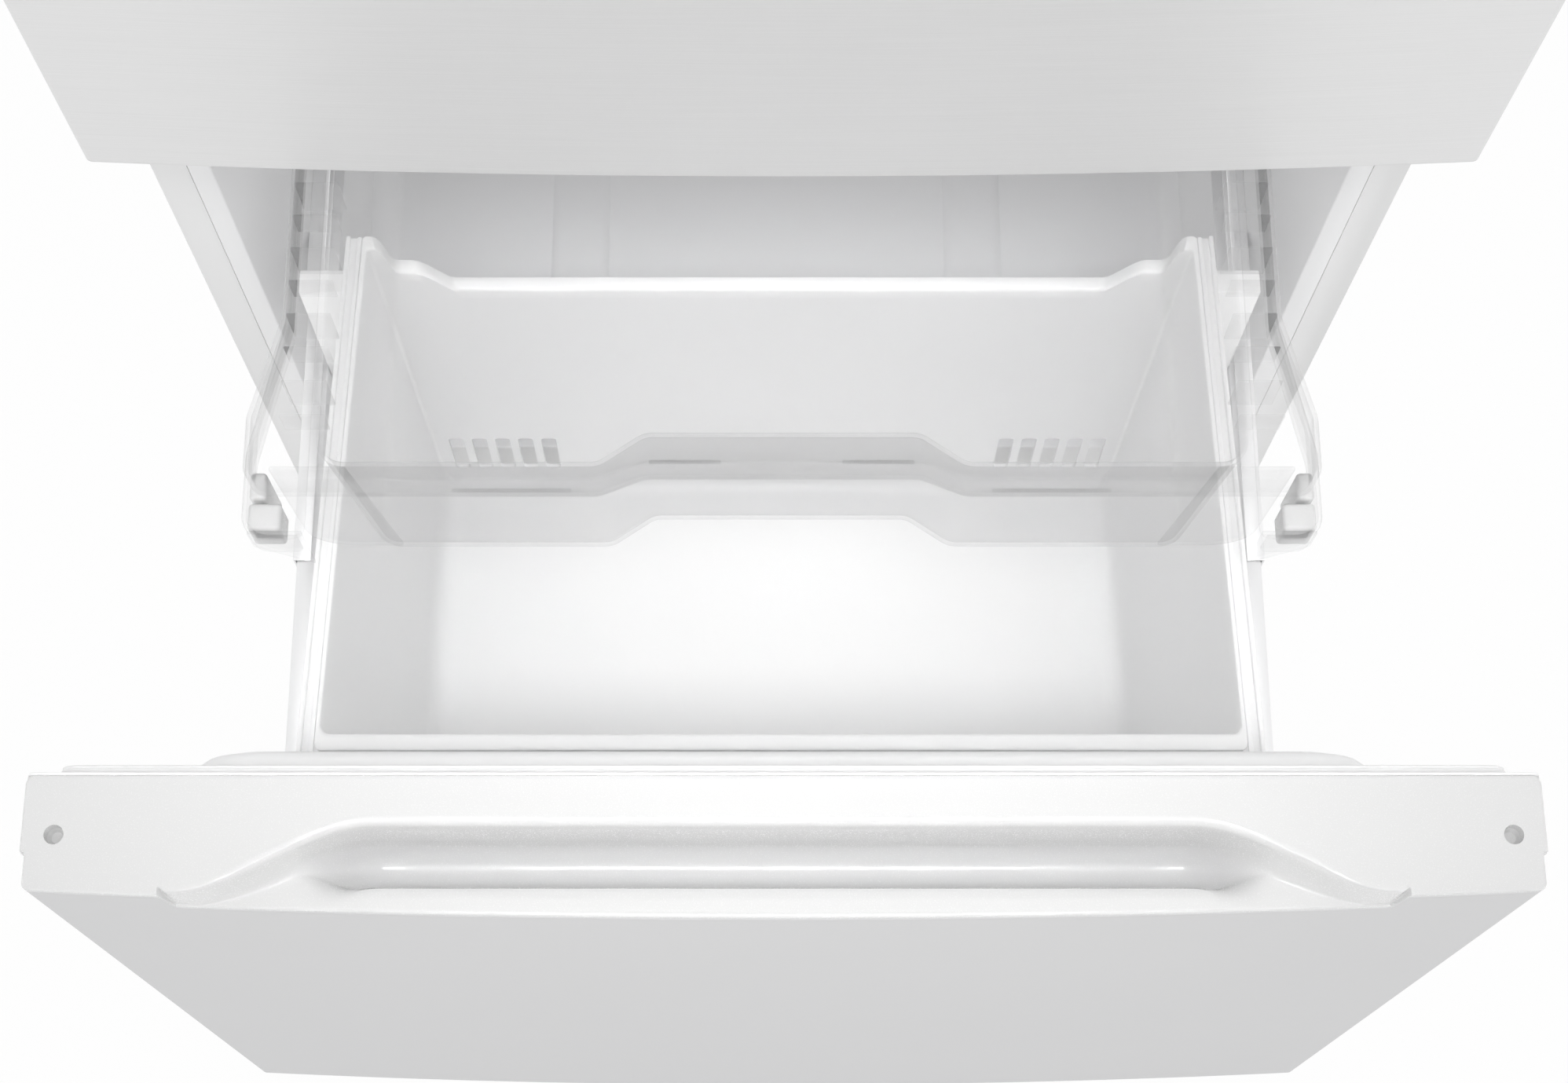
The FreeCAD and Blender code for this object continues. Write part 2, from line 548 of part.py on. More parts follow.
coil_x = f"(condenser_wall_gap - {half})"
coil_low = f"({pan_top})"
coil_rear = f"({can_y} + condenser_length/2)"
coil_front = f"({can_y} - condenser_length/2)"
coil_parts = [block(f"condenser_plate_{end}", (coil_x, f"{coil_x} + condenser_width"), span,
                    (coil_low, f"{coil_low} + condenser_height"))
              for end, span in (("front", (coil_front, f"{coil_front} + 3")),
                                ("rear", (f"{coil_rear} - 3", coil_rear)))]
for i in range(5):
    for j in range(3):
        coil_parts.append(rod(f"condenser_tube_{i}{j}", "tube_round", "condenser_length",
                              (f"{coil_x} + condenser_width*({j} + 0.5)/3", coil_front,
                               f"{coil_low} + condenser_height*({i} + 0.5)/5"), "Y"))
for i in range(9):
    fin_y = f"({coil_front} + condenser_length*({i} + 1)/10)"
    coil_parts.append(block(f"condenser_fin_{i}", (f"{coil_x} + 2", f"{coil_x} + condenser_width"
                            " - 2"), (fin_y, f"{fin_y} + 2"),
                            (f"{coil_low} + 6", f"{coil_low} + condenser_height - 6")))
condenser = joined("condenser", *coil_parts)

blower_x = f"({coil_x} + condenser_width)"
blower_z = f"({coil_low} + condenser_height/2)"
shroud = trimmed(
    "shroud", block("shroud_plate", (blower_x, f"{blower_x} + 4"), (coil_front, coil_rear),
                    (coil_low, f"{coil_low} + condenser_height")),
    rod("shroud_hole", "condenser_fan + 5", "20", (f"{blower_x} - 5", can_y, blower_z), "X"))
spokes = [block("shroud_bar", (f"{blower_x} + fan_depth + 12", f"{blower_x} + fan_depth + 16"),
                (f"{can_y} - 8", f"{can_y} + 8"), (coil_low, f"{coil_low} + condenser_height"))]
for end, low in (("low", coil_low), ("high", f"{coil_low} + condenser_height - 4")):
    spokes.append(block(f"shroud_arm_{end}", (blower_x, f"{blower_x} + fan_depth + 16"),
                        (f"{can_y} - 8", f"{can_y} + 8"), (low, f"{low} + 4")))
condenser_motor = rod("condenser_motor_can", "motor_round", "motor_length",
                      (f"{blower_x} + fan_depth + 16", can_y, blower_z), "X")
condenser_shaft = rod("condenser_motor_shaft", "fan_shaft", "fan_depth + 12",
                      (f"{blower_x} + 6", can_y, blower_z), "X")
condenser_fan_motor = joined("condenser_fan_motor", shroud, *spokes, condenser_motor,
                             condenser_shaft)
fan_blade("condenser_fan_blade", "condenser_fan", (f"{blower_x} + 8", can_y, blower_z), "X")

drain_pan = trimmed(
    "drain_pan",
    block("drain_pan_outer", ("-pan_half - 40", "pan_half - 40"),
          (f"{can_y} - pan_half", f"{can_y} + pan_half"), (pan_top, f"{pan_top} + pan_depth")),
    block("drain_pan_inner", ("-pan_half - 38", "pan_half - 42"),
          (f"{can_y} - pan_half + 2", f"{can_y} + pan_half - 2"),
          (f"{pan_top} + 2", f"{pan_top} + pan_depth + 1")))

cover_plate = block("machine_cover_plate", (f"-{half} + skin", f"{half} - skin"),
                    (f"{case_back} - skin", case_back), (case_low, machine_top))
cover_slots = row_of("cover_slot_row",
                     ("-((grille_count - 1)*grille_pitch + grille_slot)/2",
                      "-((grille_count - 1)*grille_pitch - grille_slot)/2"),
                     (f"{case_back} - skin - 1", f"{case_back} + 1"),
                     (f"{pan_top} + 40", f"{machine_top} - 40"), "grille_count",
                     "grille_pitch")
gland_x = f"({blower_x} + gland_side)"
gland_z = f"({pan_top} + gland_rise)"
gland_hole = rod("gland_hole", "gland_round + shaft_gap", "skin + 4",
                 (gland_x, f"{case_back} - skin - 2", gland_z), "Y")
machine_cover = trimmed("machine_cover", cover_plate, cover_slots, gland_hole)
turned("cord_inlet",
       [("4", "0"), ("gland_round", "0"), ("gland_round", "14 + skin"), ("4", "14 + skin")],
       (gland_x, f"{case_back} - skin - 14", gland_z), "Y")

# ---------------------------------------------------------------- cold-air parts
air_front = f"({freezer_back} - air_space)"
air_cover_low = f"({step_top})"
fan_z = f"({freezer_roof} - fan_round - 24)"
cover_sheet = block("evaporator_cover_plate", (f"-{inner_half}", inner_half),
                    (air_front, f"{air_front} + air_cover_sheet"), (air_cover_low, freezer_roof))
cover_holes = []
for i in range(-2, 3):
    cover_holes.append(block(f"cover_slot_{i + 3}", (f"-fan_round", "fan_round"),
                             (f"{air_front} - 1", f"{air_front} + air_cover_sheet + 1"),
                             (f"{fan_z} + ({i})*14 - 4", f"{fan_z} + ({i})*14 + 4")))
for i in range(8):
    cover_holes.append(block(f"return_slot_{i + 1}", (f"({i} - 4)*60 + 10", f"({i} - 4)*60 + 50"),
                             (f"{air_front} - 1", f"{air_front} + air_cover_sheet + 1"),
                             (f"{air_cover_low} + 12", f"{air_cover_low} + 26")))
evaporator_cover = trimmed("evaporator_cover", cover_sheet, *cover_holes)

coil_y = f"({freezer_back} - coil_depth)"
coil_base = f"({step_top} + 34)"
coil_half = f"({inner_half} - coil_side)"
cold_parts = [block(f"evaporator_plate_{end}", span, (coil_y, freezer_back),
                    (coil_base, f"{coil_base} + coil_height"))
              for end, span in (("left", (f"-{coil_half}", f"-{coil_half} + 3")),
                                ("right", (f"{coil_half} - 3", coil_half)))]
for i in range(int(SIZES["coil_rows"])):
    for j in range(2):
        cold_parts.append(rod(f"evaporator_tube_{i}{j}", "coil_tube", f"2*{coil_half}",
                              (f"-{coil_half}", f"{coil_y} + coil_depth*({j} + 0.5)/2",
                               f"{coil_base} + coil_height*({i} + 0.5)/coil_rows"), "X"))
for i in range(11):
    fin_x = f"(-{coil_half} + 2*{coil_half}*({i} + 1)/12)"
    cold_parts.append(block(f"evaporator_fin_{i}", (fin_x, f"{fin_x} + 2"),
                            (f"{coil_y} + 4", f"{freezer_back} - 4"),
                            (f"{coil_base} + 4", f"{coil_base} + coil_height - 4")))
cold_coil = joined("cold_coil", *cold_parts)
heater_z = f"({coil_base} - 14)"
heater_rod = rod("heater_rod", "heater_round", f"2*{coil_half}",
                 (f"-{coil_half}", f"{coil_y} + coil_depth/2", heater_z), "X")
heater_clips = [block(f"heater_clip_{end}", span, (f"{coil_y} + coil_depth/2 - 8",
                      freezer_back), (f"{heater_z} - 8", f"{heater_z} + 8"))
                for end, span in (("left", (f"-{coil_half}", f"-{coil_half} + 4")),
                                  ("right", (f"{coil_half} - 4", coil_half)))]
evaporator = group("evaporator", cold_coil, joined("defrost_heater", heater_rod, *heater_clips))

fan_y = f"({air_front} + air_cover_sheet + 4)"
cold_motor = rod("cold_motor_can", "motor_round", "motor_length",
                 ("0", f"{fan_y} + fan_depth + 4", fan_z), "Y")
cold_shaft = rod("cold_motor_shaft", "fan_shaft", "fan_depth + 6", ("0", f"{fan_y} - 1", fan_z),
                 "Y")
cold_bracket = block("cold_motor_bracket", ("-8", "8"),
                     (f"{fan_y} + fan_depth + 4 + motor_length - 4", freezer_back),
                     (f"{fan_z} - 8", f"{fan_z} + 8"))
evaporator_fan_motor = joined("evaporator_fan_motor", cold_motor, cold_shaft, cold_bracket)
fan_blade("evaporator_fan_blade", "fan_round", ("0", fan_y, fan_z), "Y")

# ---------------------------------------------------------------- fridge fittings
shelf_front = f"({case_front} + shelf_set_back)"
shelf_rear = f"({fridge_back} - duct_depth - 14)"
shelf_half = f"({inner_half} - shelf_play)"
panes = []
trims = []
for i in range(int(SIZES["shelf_count"])):
    shelf_z = f"({fridge_floor} + shelf_first + {i}*shelf_pitch)"
    panes.append(block(f"shelf_pane_{i + 1}", (f"-{shelf_half}", shelf_half),
                       (f"{shelf_front} + shelf_trim", f"{shelf_rear} - shelf_trim"),
                       (shelf_z, f"{shelf_z} + shelf_glass")))
    for end, span in (("front", (shelf_front, f"{shelf_front} + shelf_trim")),
                      ("rear", (f"{shelf_rear} - shelf_trim", shelf_rear))):
        trims.append(block(f"shelf_trim_{i + 1}_{end}", (f"-{shelf_half}", shelf_half), span,
                           (shelf_z, f"{shelf_z} + shelf_trim")))
glass_shelves = group("glass_shelves", *panes)
shelf_trims = group("shelf_trims", *trims)

cover_front = f"({case_front} + crisper_set_back + 6)"
crisper_cover_plate = block("crisper_cover_plate", (f"-{shelf_half}", shelf_half),
                            (cover_front, shelf_rear),
                            (cover_z, f"{cover_z} + crisper_cover_sheet"))
cover_nose = block("crisper_cover_nose", (f"-{shelf_half}", shelf_half),
                   (cover_front, f"{cover_front} + 4"),
                   (cover_z, f"{cover_z} + crisper_cover_sheet + 14"))
slot_z = (f"{cover_z} + crisper_cover_sheet + 3", f"{cover_z} + crisper_cover_sheet + 9")
slider_window = block("slider_window", ("-slider_slot/2", "slider_slot/2"),
                      (f"{cover_front} - 1", f"{cover_front} + 5"), slot_z)
cover_post = block("crisper_centre_post", ("-crisper_gap/2 + 1", "crisper_gap/2 - 1"),
                   (f"{cover_front} + 10", shelf_rear), (fridge_floor, cover_z))
crisper_cover = trimmed("crisper_cover",
                        joined("crisper_cover_solid", crisper_cover_plate, cover_nose,
                               cover_post), slider_window)
crisper_front = f"({case_front} + crisper_set_back)"
for side, sign in (("left", -1), ("right", 1)):
    near = "(crisper_gap/2)"
    far = f"({inner_half} - shelf_play - 2)"
    x_low, x_high = (f"-{far}", f"-{near}") if sign < 0 else (near, far)
    low = f"({fridge_floor} + running_gap)"
    high = f"({fridge_floor} + crisper_height)"
    tub = block(f"crisper_{side}_outer", (x_low, x_high),
                (crisper_front, f"{crisper_front} + crisper_length"), (low, high))
    room = block(f"crisper_{side}_inner", (f"{x_low} + crisper_wall", f"{x_high} - crisper_wall"),
                 (f"{crisper_front} + crisper_wall",
                  f"{crisper_front} + crisper_length - crisper_wall"),
                 (f"{low} + crisper_wall", f"{high} + 1"))
    grip = block(f"crisper_{side}_grip", (f"({x_low} + {x_high})/2 - 60",
                                          f"({x_low} + {x_high})/2 + 60"),
                 (f"{crisper_front} - 1", f"{crisper_front} + crisper_wall + 1"),
                 (f"{high} - 22", f"{high} + 1"))
    trimmed(f"crisper_{side}", tub, room, grip)
stem_z = (f"({slot_z[0]} + running_gap)", f"({slot_z[1]} - running_gap)")
humidity_slider = joined(
    "humidity_slider",
    block("slider_stem", ("-6", "6"), (f"{cover_front} - running_gap", f"{cover_front} + 5"),
          stem_z),
    block("slider_handle", ("-slider_knob/2", "slider_knob/2"),
          (f"{cover_front} - 4", f"{cover_front} - running_gap"),
          (f"{stem_z[0]} - 3", f"{stem_z[1]} + 3")),
    block("slider_catch", ("-6", "6"), (f"{cover_front} + 4 + running_gap", f"{cover_front} + 7"),
          (f"{stem_z[0]} - 2", f"{stem_z[1]} + 2")))

duct_low = f"({fridge_floor} + shelf_first - duct_margin)"
duct_high = f"({fridge_roof} - duct_margin)"
duct = tube_block("duct_sleeve", ("-duct_half", "duct_half"),
                  (f"{fridge_back} - duct_depth", fridge_back), (duct_low, duct_high), "2")
duct_plate = block("duct_plate", ("-duct_half", "duct_half"),
                   (f"{fridge_back} - duct_depth", f"{fridge_back} - duct_depth + 2"),
                   (duct_low, duct_high))
duct_slots = []
for i in range(5):
    for side, sign in (("left", "-"), ("right", "")):
        duct_slots.append(block(f"duct_slot_{i}_{side}",
                                (f"{sign}duct_half*0.55 - 30", f"{sign}duct_half*0.55 + 30"),
                                (f"{fridge_back} - duct_depth - 1",
                                 f"{fridge_back} - duct_depth + 3"),
                                (f"{duct_low} + 40 + {i}*90",
                                 f"{duct_low} + 40 + {i}*90 + duct_slot")))
air_duct_cover = trimmed("air_duct_cover", joined("duct_solid", duct, duct_plate), *duct_slots)

panel_front = f"({case_front} + panel_back)"
panel_low = f"({fridge_roof} - panel_height)"
panel_box = block("control_panel_box", ("-panel_half", "panel_half"),
                  (panel_front, f"{panel_front} + panel_length"), (panel_low, fridge_roof))
dial_z = f"({panel_low} + panel_height/2)"
dial_well = rod("dial_well", "dial_stem + shaft_gap", "dial_length + 1",
                ("0", f"{panel_front} - 1", dial_z), "Y")
control_panel = trimmed("control_panel", panel_box, dial_well)
dial_knob = rod("dial_knob", "dial_round", "dial_proud",
                ("0", f"{panel_front} - running_gap - dial_proud", dial_z), "Y")
dial_ridge = block("dial_ridge", ("-2", "2"),
                   (f"{panel_front} - running_gap - dial_proud - 3",
                    f"{panel_front} - running_gap"),
                   (f"{dial_z} - dial_round + 1", f"{dial_z} + dial_round - 1"))
dial_shaft = rod("dial_shaft", "dial_stem", "dial_length",
                 ("0", f"{panel_front} - running_gap - 1", dial_z), "Y")
temperature_dial = joined("temperature_dial", dial_knob, dial_ridge, dial_shaft)

# ---------------------------------------------------------------- upper door
panel_rear = f"({face} + door_depth)"
panel_back_face = f"({panel_rear} - panel_wall)"
grip_x = (f"-{half} - 1", f"-{half} + grip_depth")
grip_y = (f"{face} + grip_front", f"{face} + grip_front + grip_opening")
grip_z = (f"{door_low} + grip_low", f"{door_low} + grip_low + grip_length")
grip_cut = block("grip_cut", grip_x, grip_y, grip_z)
door_shell = trimmed("door_shell",
                     bowed_slab("door_skin_outer", "0", face, panel_back_face, door_low, door_top),
                     bowed_slab("door_skin_inner", "skin", face, f"{panel_back_face} + 1",
                                f"{door_low} - 1", f"{door_top} + 1"))
door_skin = trimmed("door_skin", door_shell, grip_cut)
door_grip = trimmed(
    "door_grip", block("door_grip_outer", (f"-{half}", grip_x[1]), grip_y, grip_z),
    block("door_grip_inner", (f"-{half} - 1", f"{grip_x[1]} - grip_wall"),
          (f"{grip_y[0]} + grip_wall", f"{grip_y[1]} - grip_wall"),
          (f"{grip_z[0]} + grip_wall", f"{grip_z[1]} - grip_wall")))

hinge_x = f"({half} - hinge_side)"
hinge_y = f"({face} + hinge_back)"
pin_hole = rod("hinge_pin_hole", "hinge_pin + shaft_gap", "door_height + 2",
               (hinge_x, hinge_y, f"{door_low} - 1"), "Z")
caps = [bowed_slab(f"door_cap_{end}_solid", "skin", face, panel_back_face, low, high)
        for end, low, high in (("bottom", door_low, f"{door_low} + end_cap"),
                               ("top", f"{door_top} - end_cap", door_top))]
door_end_caps = group("door_end_caps", *[trimmed(f"{cap.Name}_bored", cap, pin_hole)
                                         for cap in caps])

dyke_half = f"({half} - dyke_side)"
dyke_z = (f"{door_low} + dyke_low", f"{door_top} - dyke_high")
dyke_rear = f"({panel_rear} + dyke_depth)"
dyke_shell = trimmed(
    "door_dyke",
    ring_block("door_dyke_ring", (f"-{dyke_half}", dyke_half), (panel_back_face, dyke_rear),
               dyke_z, "dyke_width"),
    ring_block("door_dyke_hollow", (f"-{dyke_half} + liner_wall", f"{dyke_half} - liner_wall"),
               (f"{panel_back_face} - 1", f"{dyke_rear} - liner_wall"),
               (f"{dyke_z[0]} + liner_wall", f"{dyke_z[1]} - liner_wall"),
               "(dyke_width - 2*liner_wall)"))
panel_sheet = trimmed(
    "door_panel_sheet",
    block("door_panel_whole", (f"-{half} + skin", f"{half} - skin"),
          (panel_back_face, panel_rear), (f"{door_low} + skin", f"{door_top} - skin")),
    ring_block("door_panel_hollow", (f"-{dyke_half} + liner_wall", f"{dyke_half} - liner_wall"),
               (f"{panel_back_face} - 1", f"{panel_rear} + 1"),
               (f"{dyke_z[0]} + liner_wall", f"{dyke_z[1]} - liner_wall"),
               "(dyke_width - 2*liner_wall)"))
door_liner = joined("door_liner", panel_sheet, dyke_shell)
door_foam = trimmed(
    "door_foam",
    bowed_slab("door_foam_solid", "skin", face, panel_back_face, f"{door_low} + end_cap",
               f"{door_top} - end_cap"), grip_cut)
door_gasket = ring_block(
    "door_gasket", (f"-{half} + seal_edge", f"{half} - seal_edge"),
    (panel_rear, f"{case_front} - running_gap - 0.2"),
    (f"{door_low} + seal_edge", f"{door_top} - seal_edge"), "seal_width")

rack_half = f"({dyke_half} - dyke_width)"


def door_rack(name, low, height):
    """An open-topped rack hung between the two upright dykes of the inner door."""
    outer = block(f"{name}_outer", (f"-{rack_half}", rack_half),
                  (panel_rear, f"{panel_rear} + rack_depth"), (low, f"{low} + {height}"))
    inner = block(f"{name}_inner", (f"-{rack_half} + rack_wall", f"{rack_half} - rack_wall"),
                  (f"{panel_rear} + rack_wall", f"{panel_rear} + rack_depth - rack_wall"),
                  (f"{low} + rack_wall", f"{low} + {height} + 1"))
    return trimmed(name, outer, inner)


rack_base = f"{door_low} + dyke_low + dyke_width"
door_racks = group(
    "door_racks",
    door_rack("bottle_rack", f"({rack_base} + bottle_rack_low)", "bottle_rack_height"),
    door_rack("jar_rack", f"({rack_base} + rack_low)", "rack_height"))
dairy_z = f"({rack_base} + dairy_low)"
dairy_rear = f"({panel_rear} + dairy_depth)"
dairy_box = trimmed(
    "dairy_box",
    block("dairy_outer", (f"-{rack_half}", rack_half), (panel_rear, dairy_rear),
          (dairy_z, f"{dairy_z} + dairy_height")),
    block("dairy_inner", (f"-{rack_half} + rack_wall", f"{rack_half} - rack_wall"),
          (f"{panel_rear} + rack_wall", f"{dairy_rear} + 1"),
          (f"{dairy_z} + rack_wall", f"{dairy_z} + dairy_height - rack_wall")))
lid_y = f"({dairy_rear} + running_gap + lid_pin)"
lid_z = f"({dairy_z} + dairy_height - lid_pin - 1)"
lid_half = f"({rack_half} - 2)"
dairy_lid = joined(
    "dairy_lid",
    block("lid_plate", (f"-{lid_half}", lid_half), (f"{lid_y} - lid_sheet/2",
                                                    f"{lid_y} + lid_sheet/2"),
          (f"{lid_z} - lid_length", lid_z)),
    rod("lid_barrel", "lid_pin", f"2*{lid_half}", (f"-{lid_half}", lid_y, lid_z), "X"))

# ---------------------------------------------------------------- hinges
plate_low = f"({drawer_top} + (door_gap - hinge_plate)/2)"
plate_high = f"({plate_low} + hinge_plate)"
middle_plate = block("middle_hinge_plate", (f"{half} - hinge_side - hinge_inward",
                                            f"{half} - 4"),
                     (f"{hinge_y} - 11", case_front), (plate_low, plate_high))
middle_leg = block("middle_hinge_leg", (f"{half} - hinge_side - hinge_inward", f"{half} - 4"),
                   (f"{case_front} - hinge_leg", case_front),
                   (f"{drawer_top} - drawer_seal_edge + 1", f"{plate_high} + 4"))
middle_pin = rod("middle_hinge_pin", "hinge_pin", f"{door_low} + end_cap - 1 - {plate_high}",
                 (hinge_x, hinge_y, plate_high), "Z")
middle_hinge = joined("middle_hinge", middle_plate, middle_leg, middle_pin)

top_strap = block("top_hinge_strap", (f"{half} - hinge_side - hinge_inward",
                                      f"{half} - 4"),
                  (f"{hinge_y} - 11", f"{case_front} + top_plate_length"),
                  (case_top, f"{case_top} + top_plate"))
top_pin = rod("top_hinge_pin", "hinge_pin", "top_gap + end_cap - 1",
              (hinge_x, hinge_y, f"{case_top} - top_gap - end_cap + 1"), "Z")
bolt_heads = [rod(f"top_hinge_bolt_{i + 1}", "6", "4",
                  (f"{half} - hinge_side - hinge_inward + 20 + {i}*24",
                   f"{case_front} + top_plate_length - 24", f"{case_top} + top_plate"), "Z")
              for i in range(2)]
top_hinge = joined("top_hinge", top_strap, top_pin, *bolt_heads)
cover_x = (f"{half} - hinge_side - hinge_inward - cover_margin", f"{half} - 1")
cover_y = (f"{hinge_y} - 11 - cover_margin", f"{case_front} + top_plate_length + cover_margin")
hinge_cover = trimmed(
    "hinge_cover",
    block("hinge_cover_outer", cover_x, cover_y, (case_top, f"{case_top} + cover_height")),
    block("hinge_cover_inner", (f"{cover_x[0]} + cover_wall", f"{cover_x[1]} - cover_wall"),
          (f"{cover_y[0]} + cover_wall", f"{cover_y[1]} - cover_wall"),
          (f"{case_top} - 1", f"{case_top} + cover_height - cover_wall")))

# ---------------------------------------------------------------- drawer front
drawer_back = f"({out} + door_depth - panel_wall)"
drawer_rear = f"({out} + door_depth)"
cheek_half = f"({half} + cheek_reveal)"


scoop_half = f"({half} - scoop_side)"
scoop_turn = f"({scoop_half} - scoop_turn_in)"
scoop_bend = f"({scoop_half} - scoop_bend_in)"
scoop_flat = f"({scoop_half} - scoop_flat_in)"
channel_half = f"({scoop_half} - channel_in)"


def scoop(name, grow, low_grow):
    """The pocket handle: a wide shallow recess, then a deeper round channel behind its lip."""
    spread = [(scoop_half, f"{out} - front_bow - 20"), (scoop_half, out),
              (scoop_turn, f"{out} + scoop_toe"), (scoop_bend, f"{out} + scoop_shoulder"),
              (scoop_flat, f"{out} + scoop_back")]
    points = [(f"{u} + {grow}", f"{v} + {grow}" if i > 1 else v)
              for i, (u, v) in enumerate(spread)]
    points += [(f"-({u})", v) for u, v in reversed(points)]
    recess = prism(f"{name}_recess", "XY", points, f"{drawer_top} - lip_drop - {low_grow}",
                   f"{drawer_top} + 1")
    middle = f"({out} + scoop_back - channel_round)"
    bottom = f"({drawer_top} - channel_drop + channel_round)"
    trough = rod(f"{name}_trough", f"channel_round + {grow}", f"2*{channel_half} + 2*{grow}",
                 (f"-{channel_half} - {grow}", middle, bottom), "X")
    throat = block(f"{name}_throat", (f"-{channel_half} - {grow}", f"{channel_half} + {grow}"),
                   (f"{middle} - channel_round - {grow}", f"{middle} + channel_round + {grow}"),
                   (bottom, f"{drawer_top} - lip_drop + 1"))
    return joined(name, recess, trough, throat)


scoop_cut = scoop("scoop_cut", "0", "0")
scoop_cup = scoop("scoop_cup", "cap_wall", "cap_wall")
under_cap = f"({drawer_top} - cap_plate)"
cap_top = joined(
    "cap_top", bowed_slab("cap_plate_front", "0", out, drawer_back, under_cap, drawer_top),
    block("cap_plate_rear", (f"-{cheek_half}", cheek_half), (f"{out} + skin_wrap", drawer_back),
          (under_cap, drawer_top)))
cap_room = bowed_slab("cap_room", "skin", out, drawer_back,
                      f"{drawer_top} - channel_drop - 2*cap_wall", drawer_top)
cap_cup = doc.addObject("Part::MultiCommon", "cap_cup")
cap_cup.Shapes = [scoop_cup, cap_room]
cap_holes = [rod(f"cap_hole_{side}", "cap_hole", "cap_plate + 2",
                 (f"{sign}({half} - cap_hole_side)", f"{out} + cap_hole_back",
                  f"{under_cap} - 1"), "Z") for side, sign in (("left", "-"), ("right", ""))]
drawer_cap = trimmed("drawer_cap", joined("drawer_cap_solid", cap_top, cap_cup), scoop_cut,
                     *cap_holes)

drawer_shell = trimmed(
    "drawer_shell",
    bowed_slab("drawer_skin_outer", "0", out, f"{out} + skin_wrap", drawer_low, under_cap),
    bowed_slab("drawer_skin_inner", "skin", out, f"{out} + skin_wrap + 1",
               f"{drawer_low} - 1", drawer_top))
skin_notch = block("skin_notch", (f"-{scoop_half} - cap_wall", f"{scoop_half} + cap_wall"),
                   (f"{out} - front_bow - 2", f"{out} + skin_wrap + 1"),
                   (f"{drawer_top} - lip_drop - cap_wall", drawer_top))
drawer_skin = trimmed("drawer_skin", drawer_shell, skin_notch)

cheeks = [block(f"cheek_{side}", span, (f"{out} + skin_wrap", drawer_back),
                (drawer_low, under_cap))
          for side, span in (("left", (f"-{cheek_half}", f"-{cheek_half} + cheek_wall")),
                             ("right", (f"{cheek_half} - cheek_wall", cheek_half)))]
foot_cap = bowed_slab("drawer_foot_cap", "skin", out, drawer_back, drawer_low,
                      f"{drawer_low} + end_cap")
drawer_trim = joined("drawer_trim", foot_cap, *cheeks)
foam_inset = "(cheek_wall - cheek_reveal)"
drawer_foam = trimmed(
    "drawer_foam",
    bowed_slab("drawer_foam_solid", foam_inset, out, drawer_back, f"{drawer_low} + end_cap",
               under_cap), scoop_cup)

drawer_dyke_half = f"({half} - drawer_dyke_side)"
drawer_dyke_rear = f"({drawer_dyke_half} - drawer_dyke_slope)"
pan_points = [(drawer_dyke_half, drawer_back), (drawer_dyke_half, drawer_rear),
              (f"({drawer_dyke_half} + {drawer_dyke_rear})/2", f"{drawer_rear} + drawer_dyke_depth*0.8"),
              (drawer_dyke_rear, f"{drawer_rear} + drawer_dyke_depth")]
pan_points += [(f"-({u})", v) for u, v in reversed(pan_points)]
pan_z = (f"{drawer_low} + drawer_dyke_foot", f"{drawer_top} - drawer_dyke_top")
drawer_dyke = trimmed(
    "drawer_dyke", prism("drawer_dyke_solid", "XY", pan_points, *pan_z),
    block("drawer_dyke_pan", (f"-{drawer_dyke_rear} + drawer_dyke_width",
                              f"{drawer_dyke_rear} - drawer_dyke_width"),
          (f"{drawer_rear} + liner_wall", f"{drawer_rear} + drawer_dyke_depth + 1"),
          (f"{pan_z[0]} + drawer_dyke_width", f"{pan_z[1]} - drawer_dyke_width")))
drawer_sheet = block("drawer_panel_sheet", (f"-{cheek_half}", cheek_half),
                     (drawer_back, drawer_rear), (drawer_low, drawer_top))
drawer_liner = joined("drawer_liner", drawer_sheet, drawer_dyke)
drawer_gasket = ring_block(
    "drawer_gasket", (f"-{half} + seal_edge", f"{half} - seal_edge"),
    (drawer_rear, f"{drawer_rear} + seal_depth - running_gap - 0.2"),
    (f"{drawer_low} + drawer_seal_edge", f"{drawer_top} - drawer_seal_edge"), "seal_width")

# ---------------------------------------------------------------- bin and its frame
bin_y = (f"{out} + bin_front", f"{out} + bin_front + bin_length")
bin_top = f"({drawer_top} - bin_top_drop)"
bin_floor = f"({freezer_floor} + bin_foot)"


def trapezoid(front_half, rear_half, front, rear):
    return [(front_half, front), (rear_half, rear), (f"-({rear_half})", rear),
            (f"-({front_half})", front)]


def tub(name, grow, low, high):
    """The bin's drafted body, all of its sides moved out by one distance."""
    return loft(name,
                trapezoid(f"{bin_half_floor} + {grow}", f"{bin_half_floor} + {grow}",
                          f"{bin_y[0]} + bin_draft - {grow}",
                          f"{bin_y[1]} - bin_draft + {grow}"), low,
                trapezoid(f"{bin_half_front} + {grow}", f"{bin_half_rear} + {grow}",
                          f"{bin_y[0]} + bin_rim - {grow}",
                          f"{bin_y[1]} - bin_rim + {grow}"), high)


